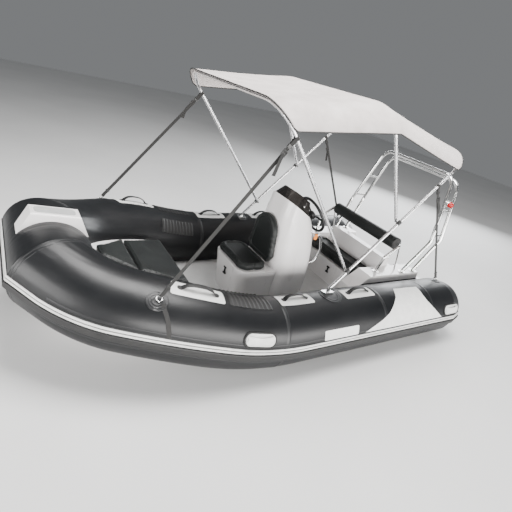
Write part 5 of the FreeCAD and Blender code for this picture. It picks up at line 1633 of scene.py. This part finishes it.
def buildEdging():
    # Black edging where the stern side mouldings meet the tubes.
    tree = surfaceOf("stern_wings")
    path = []
    for x in np.linspace(edging["from"], edging["to"], 60):
        for y in np.linspace(edging["outer"], edging["inner"], 73):
            place, normal = dropOn(tree, (x, y, edging["above"]), (0, 0, -1))
            if place is not None and place.z > edging["lowest"]:
                path.append(place + Vector((0, 0.002, 0.001)))
                break
    path = eased(path, 6)
    solids = [tubeAlong(line, edging["radius"], 10) for line in (path, mirroredPoints(path))]
    keepWith(joinSolids("wingEdging", solids, "blackRubber", 50), "boat", "rubber_black")
    print("edging laid")


# The stern lamp's turned base and lens, as shares of its depth and radius.
sternLamp = {"base": ((0.0, 0.86), (0.30, 0.9), (0.34, 1.0), (0.50, 1.0), (0.53, 0.96), (0.53, 0.02)),
             "lens": ((0.50, 0.90), (0.72, 0.90), (0.86, 0.82), (0.95, 0.60), (0.99, 0.30), (1.0, 0.02))}


def buildLamp():
    low, high = (Vector(c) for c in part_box("stern_light"))
    place = Vector(((low.x + high.x) / 2, low.y, (low.z + high.z) / 2))
    depth, radius = high.y - low.y, min(high.x - low.x, high.z - low.z) / 2
    base, lens = (lathe(place, Vector((0, 1, 0)), [(depth * a, radius * b) for a, b in sternLamp[part]], 40)
                  for part in ("base", "lens"))
    keepWith(joinSolids("lampBase", [base], "polishedSteel", 40), "boat", "stainless")
    keepWith(joinSolids("lampLens", [lens], "redLens", 60), "boat", "lamp_red", "stern_light")


# End caps and clamps of the leaning roll.
roll = {"centre": (-1.104, 0.0, 0.702), "half": 0.3955, "washer": 0.4026, "bolt": 0.4030,
        "cap": ((0.0, 0.0535), (0.0035, 0.0555), (0.0060, 0.0545), (0.0075, 0.048), (0.0078, 0.020),
                (0.0078, 0.0005))}


def buildRoll():
    caps, clamps = [], []
    for out in (Vector((0, 1, 0)), Vector((0, -1, 0))):
        at = {key: Vector(roll["centre"]) + out * roll[key] for key in ("half", "washer", "bolt")}
        caps.append(lathe(at["half"], out, roll["cap"], 44))
        clamps += [boltHead(at["bolt"], out, 0.0075, 0.0042), washer(at["washer"], out, 0.0125, 0.0014)]
    keepWith(joinSolids("rollCaps", caps, "blackPlastic", 50), "boat", "vinyl_black")
    keepWith(joinSolids("rollBolts", clamps, "polishedSteel", 40), "boat", "stainless")


# Screws and washers along the windscreen's foot: places along its sides and across its front.
screen = {"along": (-0.285, -0.215, -0.145), "across": (-0.09, 0.0, 0.09), "front": -0.055, "low": 0.020,
          "rise": 0.1485}


def buildScreenFittings():
    tree = surfaceOf("windscreen")
    shots = [((x, sign * 0.5, screwLevel(x)), (0, -sign, 0)) for sign in (1, -1) for x in screen["along"]]
    shots += [((0.3, y, screwLevel(screen["front"]) + 0.002), (-1, 0, 0)) for y in screen["across"]]
    screws = []
    for start, way in shots:
        place, normal = dropOn(tree, start, way)
        if place is not None:
            screws += [washer(place, normal, 0.0075, 0.0016),
                       boltHead(place + normal * 0.0014, normal, 0.0046, 0.0028)]
    keepWith(joinSolids("screenScrews", screws, "polishedSteel", 40), "boat", "stainless")
    print("windscreen screws:", len(screws) // 2)


def screwLevel(x):
    low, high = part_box("windscreen")
    return low[2] + screen["low"] + screen["rise"] * (x - low[0]) / (high[0] - low[0])


# The orange float hung from the console's port rail.
fob = {"centre": (-0.318, 0.214, 0.690), "across": (0.55, 0.83, 0.05), "way": (0.10, -0.12, -1.0),
       "rail": (-0.322, 0.210, 0.730), "size": (0.050, 0.024, 0.015), "cord": 0.0016}


def buildFob():
    centre, across, way = (Vector(fob[key]) for key in ("centre", "across", "way"))
    across.normalize()
    way.normalize()
    way = (way - across * way.dot(across)).normalized()
    body = plateMesh(centre, way, across.cross(way).normalized(), *fob["size"], rounded=0.34)
    keepWith(joinSolids("keyFloat", [body], "orangePlastic", 60), "boat", "fitting_black")
    path = smoothPath([centre - way * 0.022, centre - way * 0.034 + across * 0.003, Vector(fob["rail"])], 0.004, 4)
    lanyard = joinMesh("keyLanyard", *tubeAlong(path, fob["cord"], 8), "blackRubber")
    keepWith(lanyard, "boat", "fitting_black")


# The free end of each fore strap lies down the tube's flank below its ring: place along and tilt.
tails = {"line": ((1.095, 37.0), (1.086, 43.0), (1.072, 50.0), (1.055, 60.0), (1.040, 72.0), (1.030, 84.0)),
         "parts": 8, "width": 0.025, "thick": 0.0016, "lift": 0.0030, "wave": 0.0025}


def buildRingTails():
    line, parts = [Vector(spot) for spot in tails["line"]], tails["parts"]
    fine = [here.lerp(after, k / parts) for here, after in zip(line, line[1:]) for k in range(parts)]
    fine += line[-1:]
    path, across = [], []
    for x, tilt in fine:
        s = alongAt(x)
        path.append(skinPoint(s, math.radians(tilt), tails["lift"] + tails["wave"] * math.sin(tilt * 0.23)))
        across.append(frameAt(s)[1])
    bands = [bandMesh(path, across, tails["width"], tails["thick"]),
             bandMesh(mirroredPoints(path), mirroredPoints(across), tails["width"], tails["thick"])]
    keepWith(joinBands("ringTails", bands), "boat", "webbing_black")


aimCamera()
hangLamps()
layFloor()
dressNodes()
buildTubes()
buildStrake()
buildPatches()
buildSeams()
buildCushions()
buildCanopy()
buildStraps()
buildGrips()
buildLifts()
buildWheel()
buildDash()
buildBolts()
buildStep()
buildEdging()
buildLamp()
buildRoll()
buildScreenFittings()
buildFob()
buildRingTails()
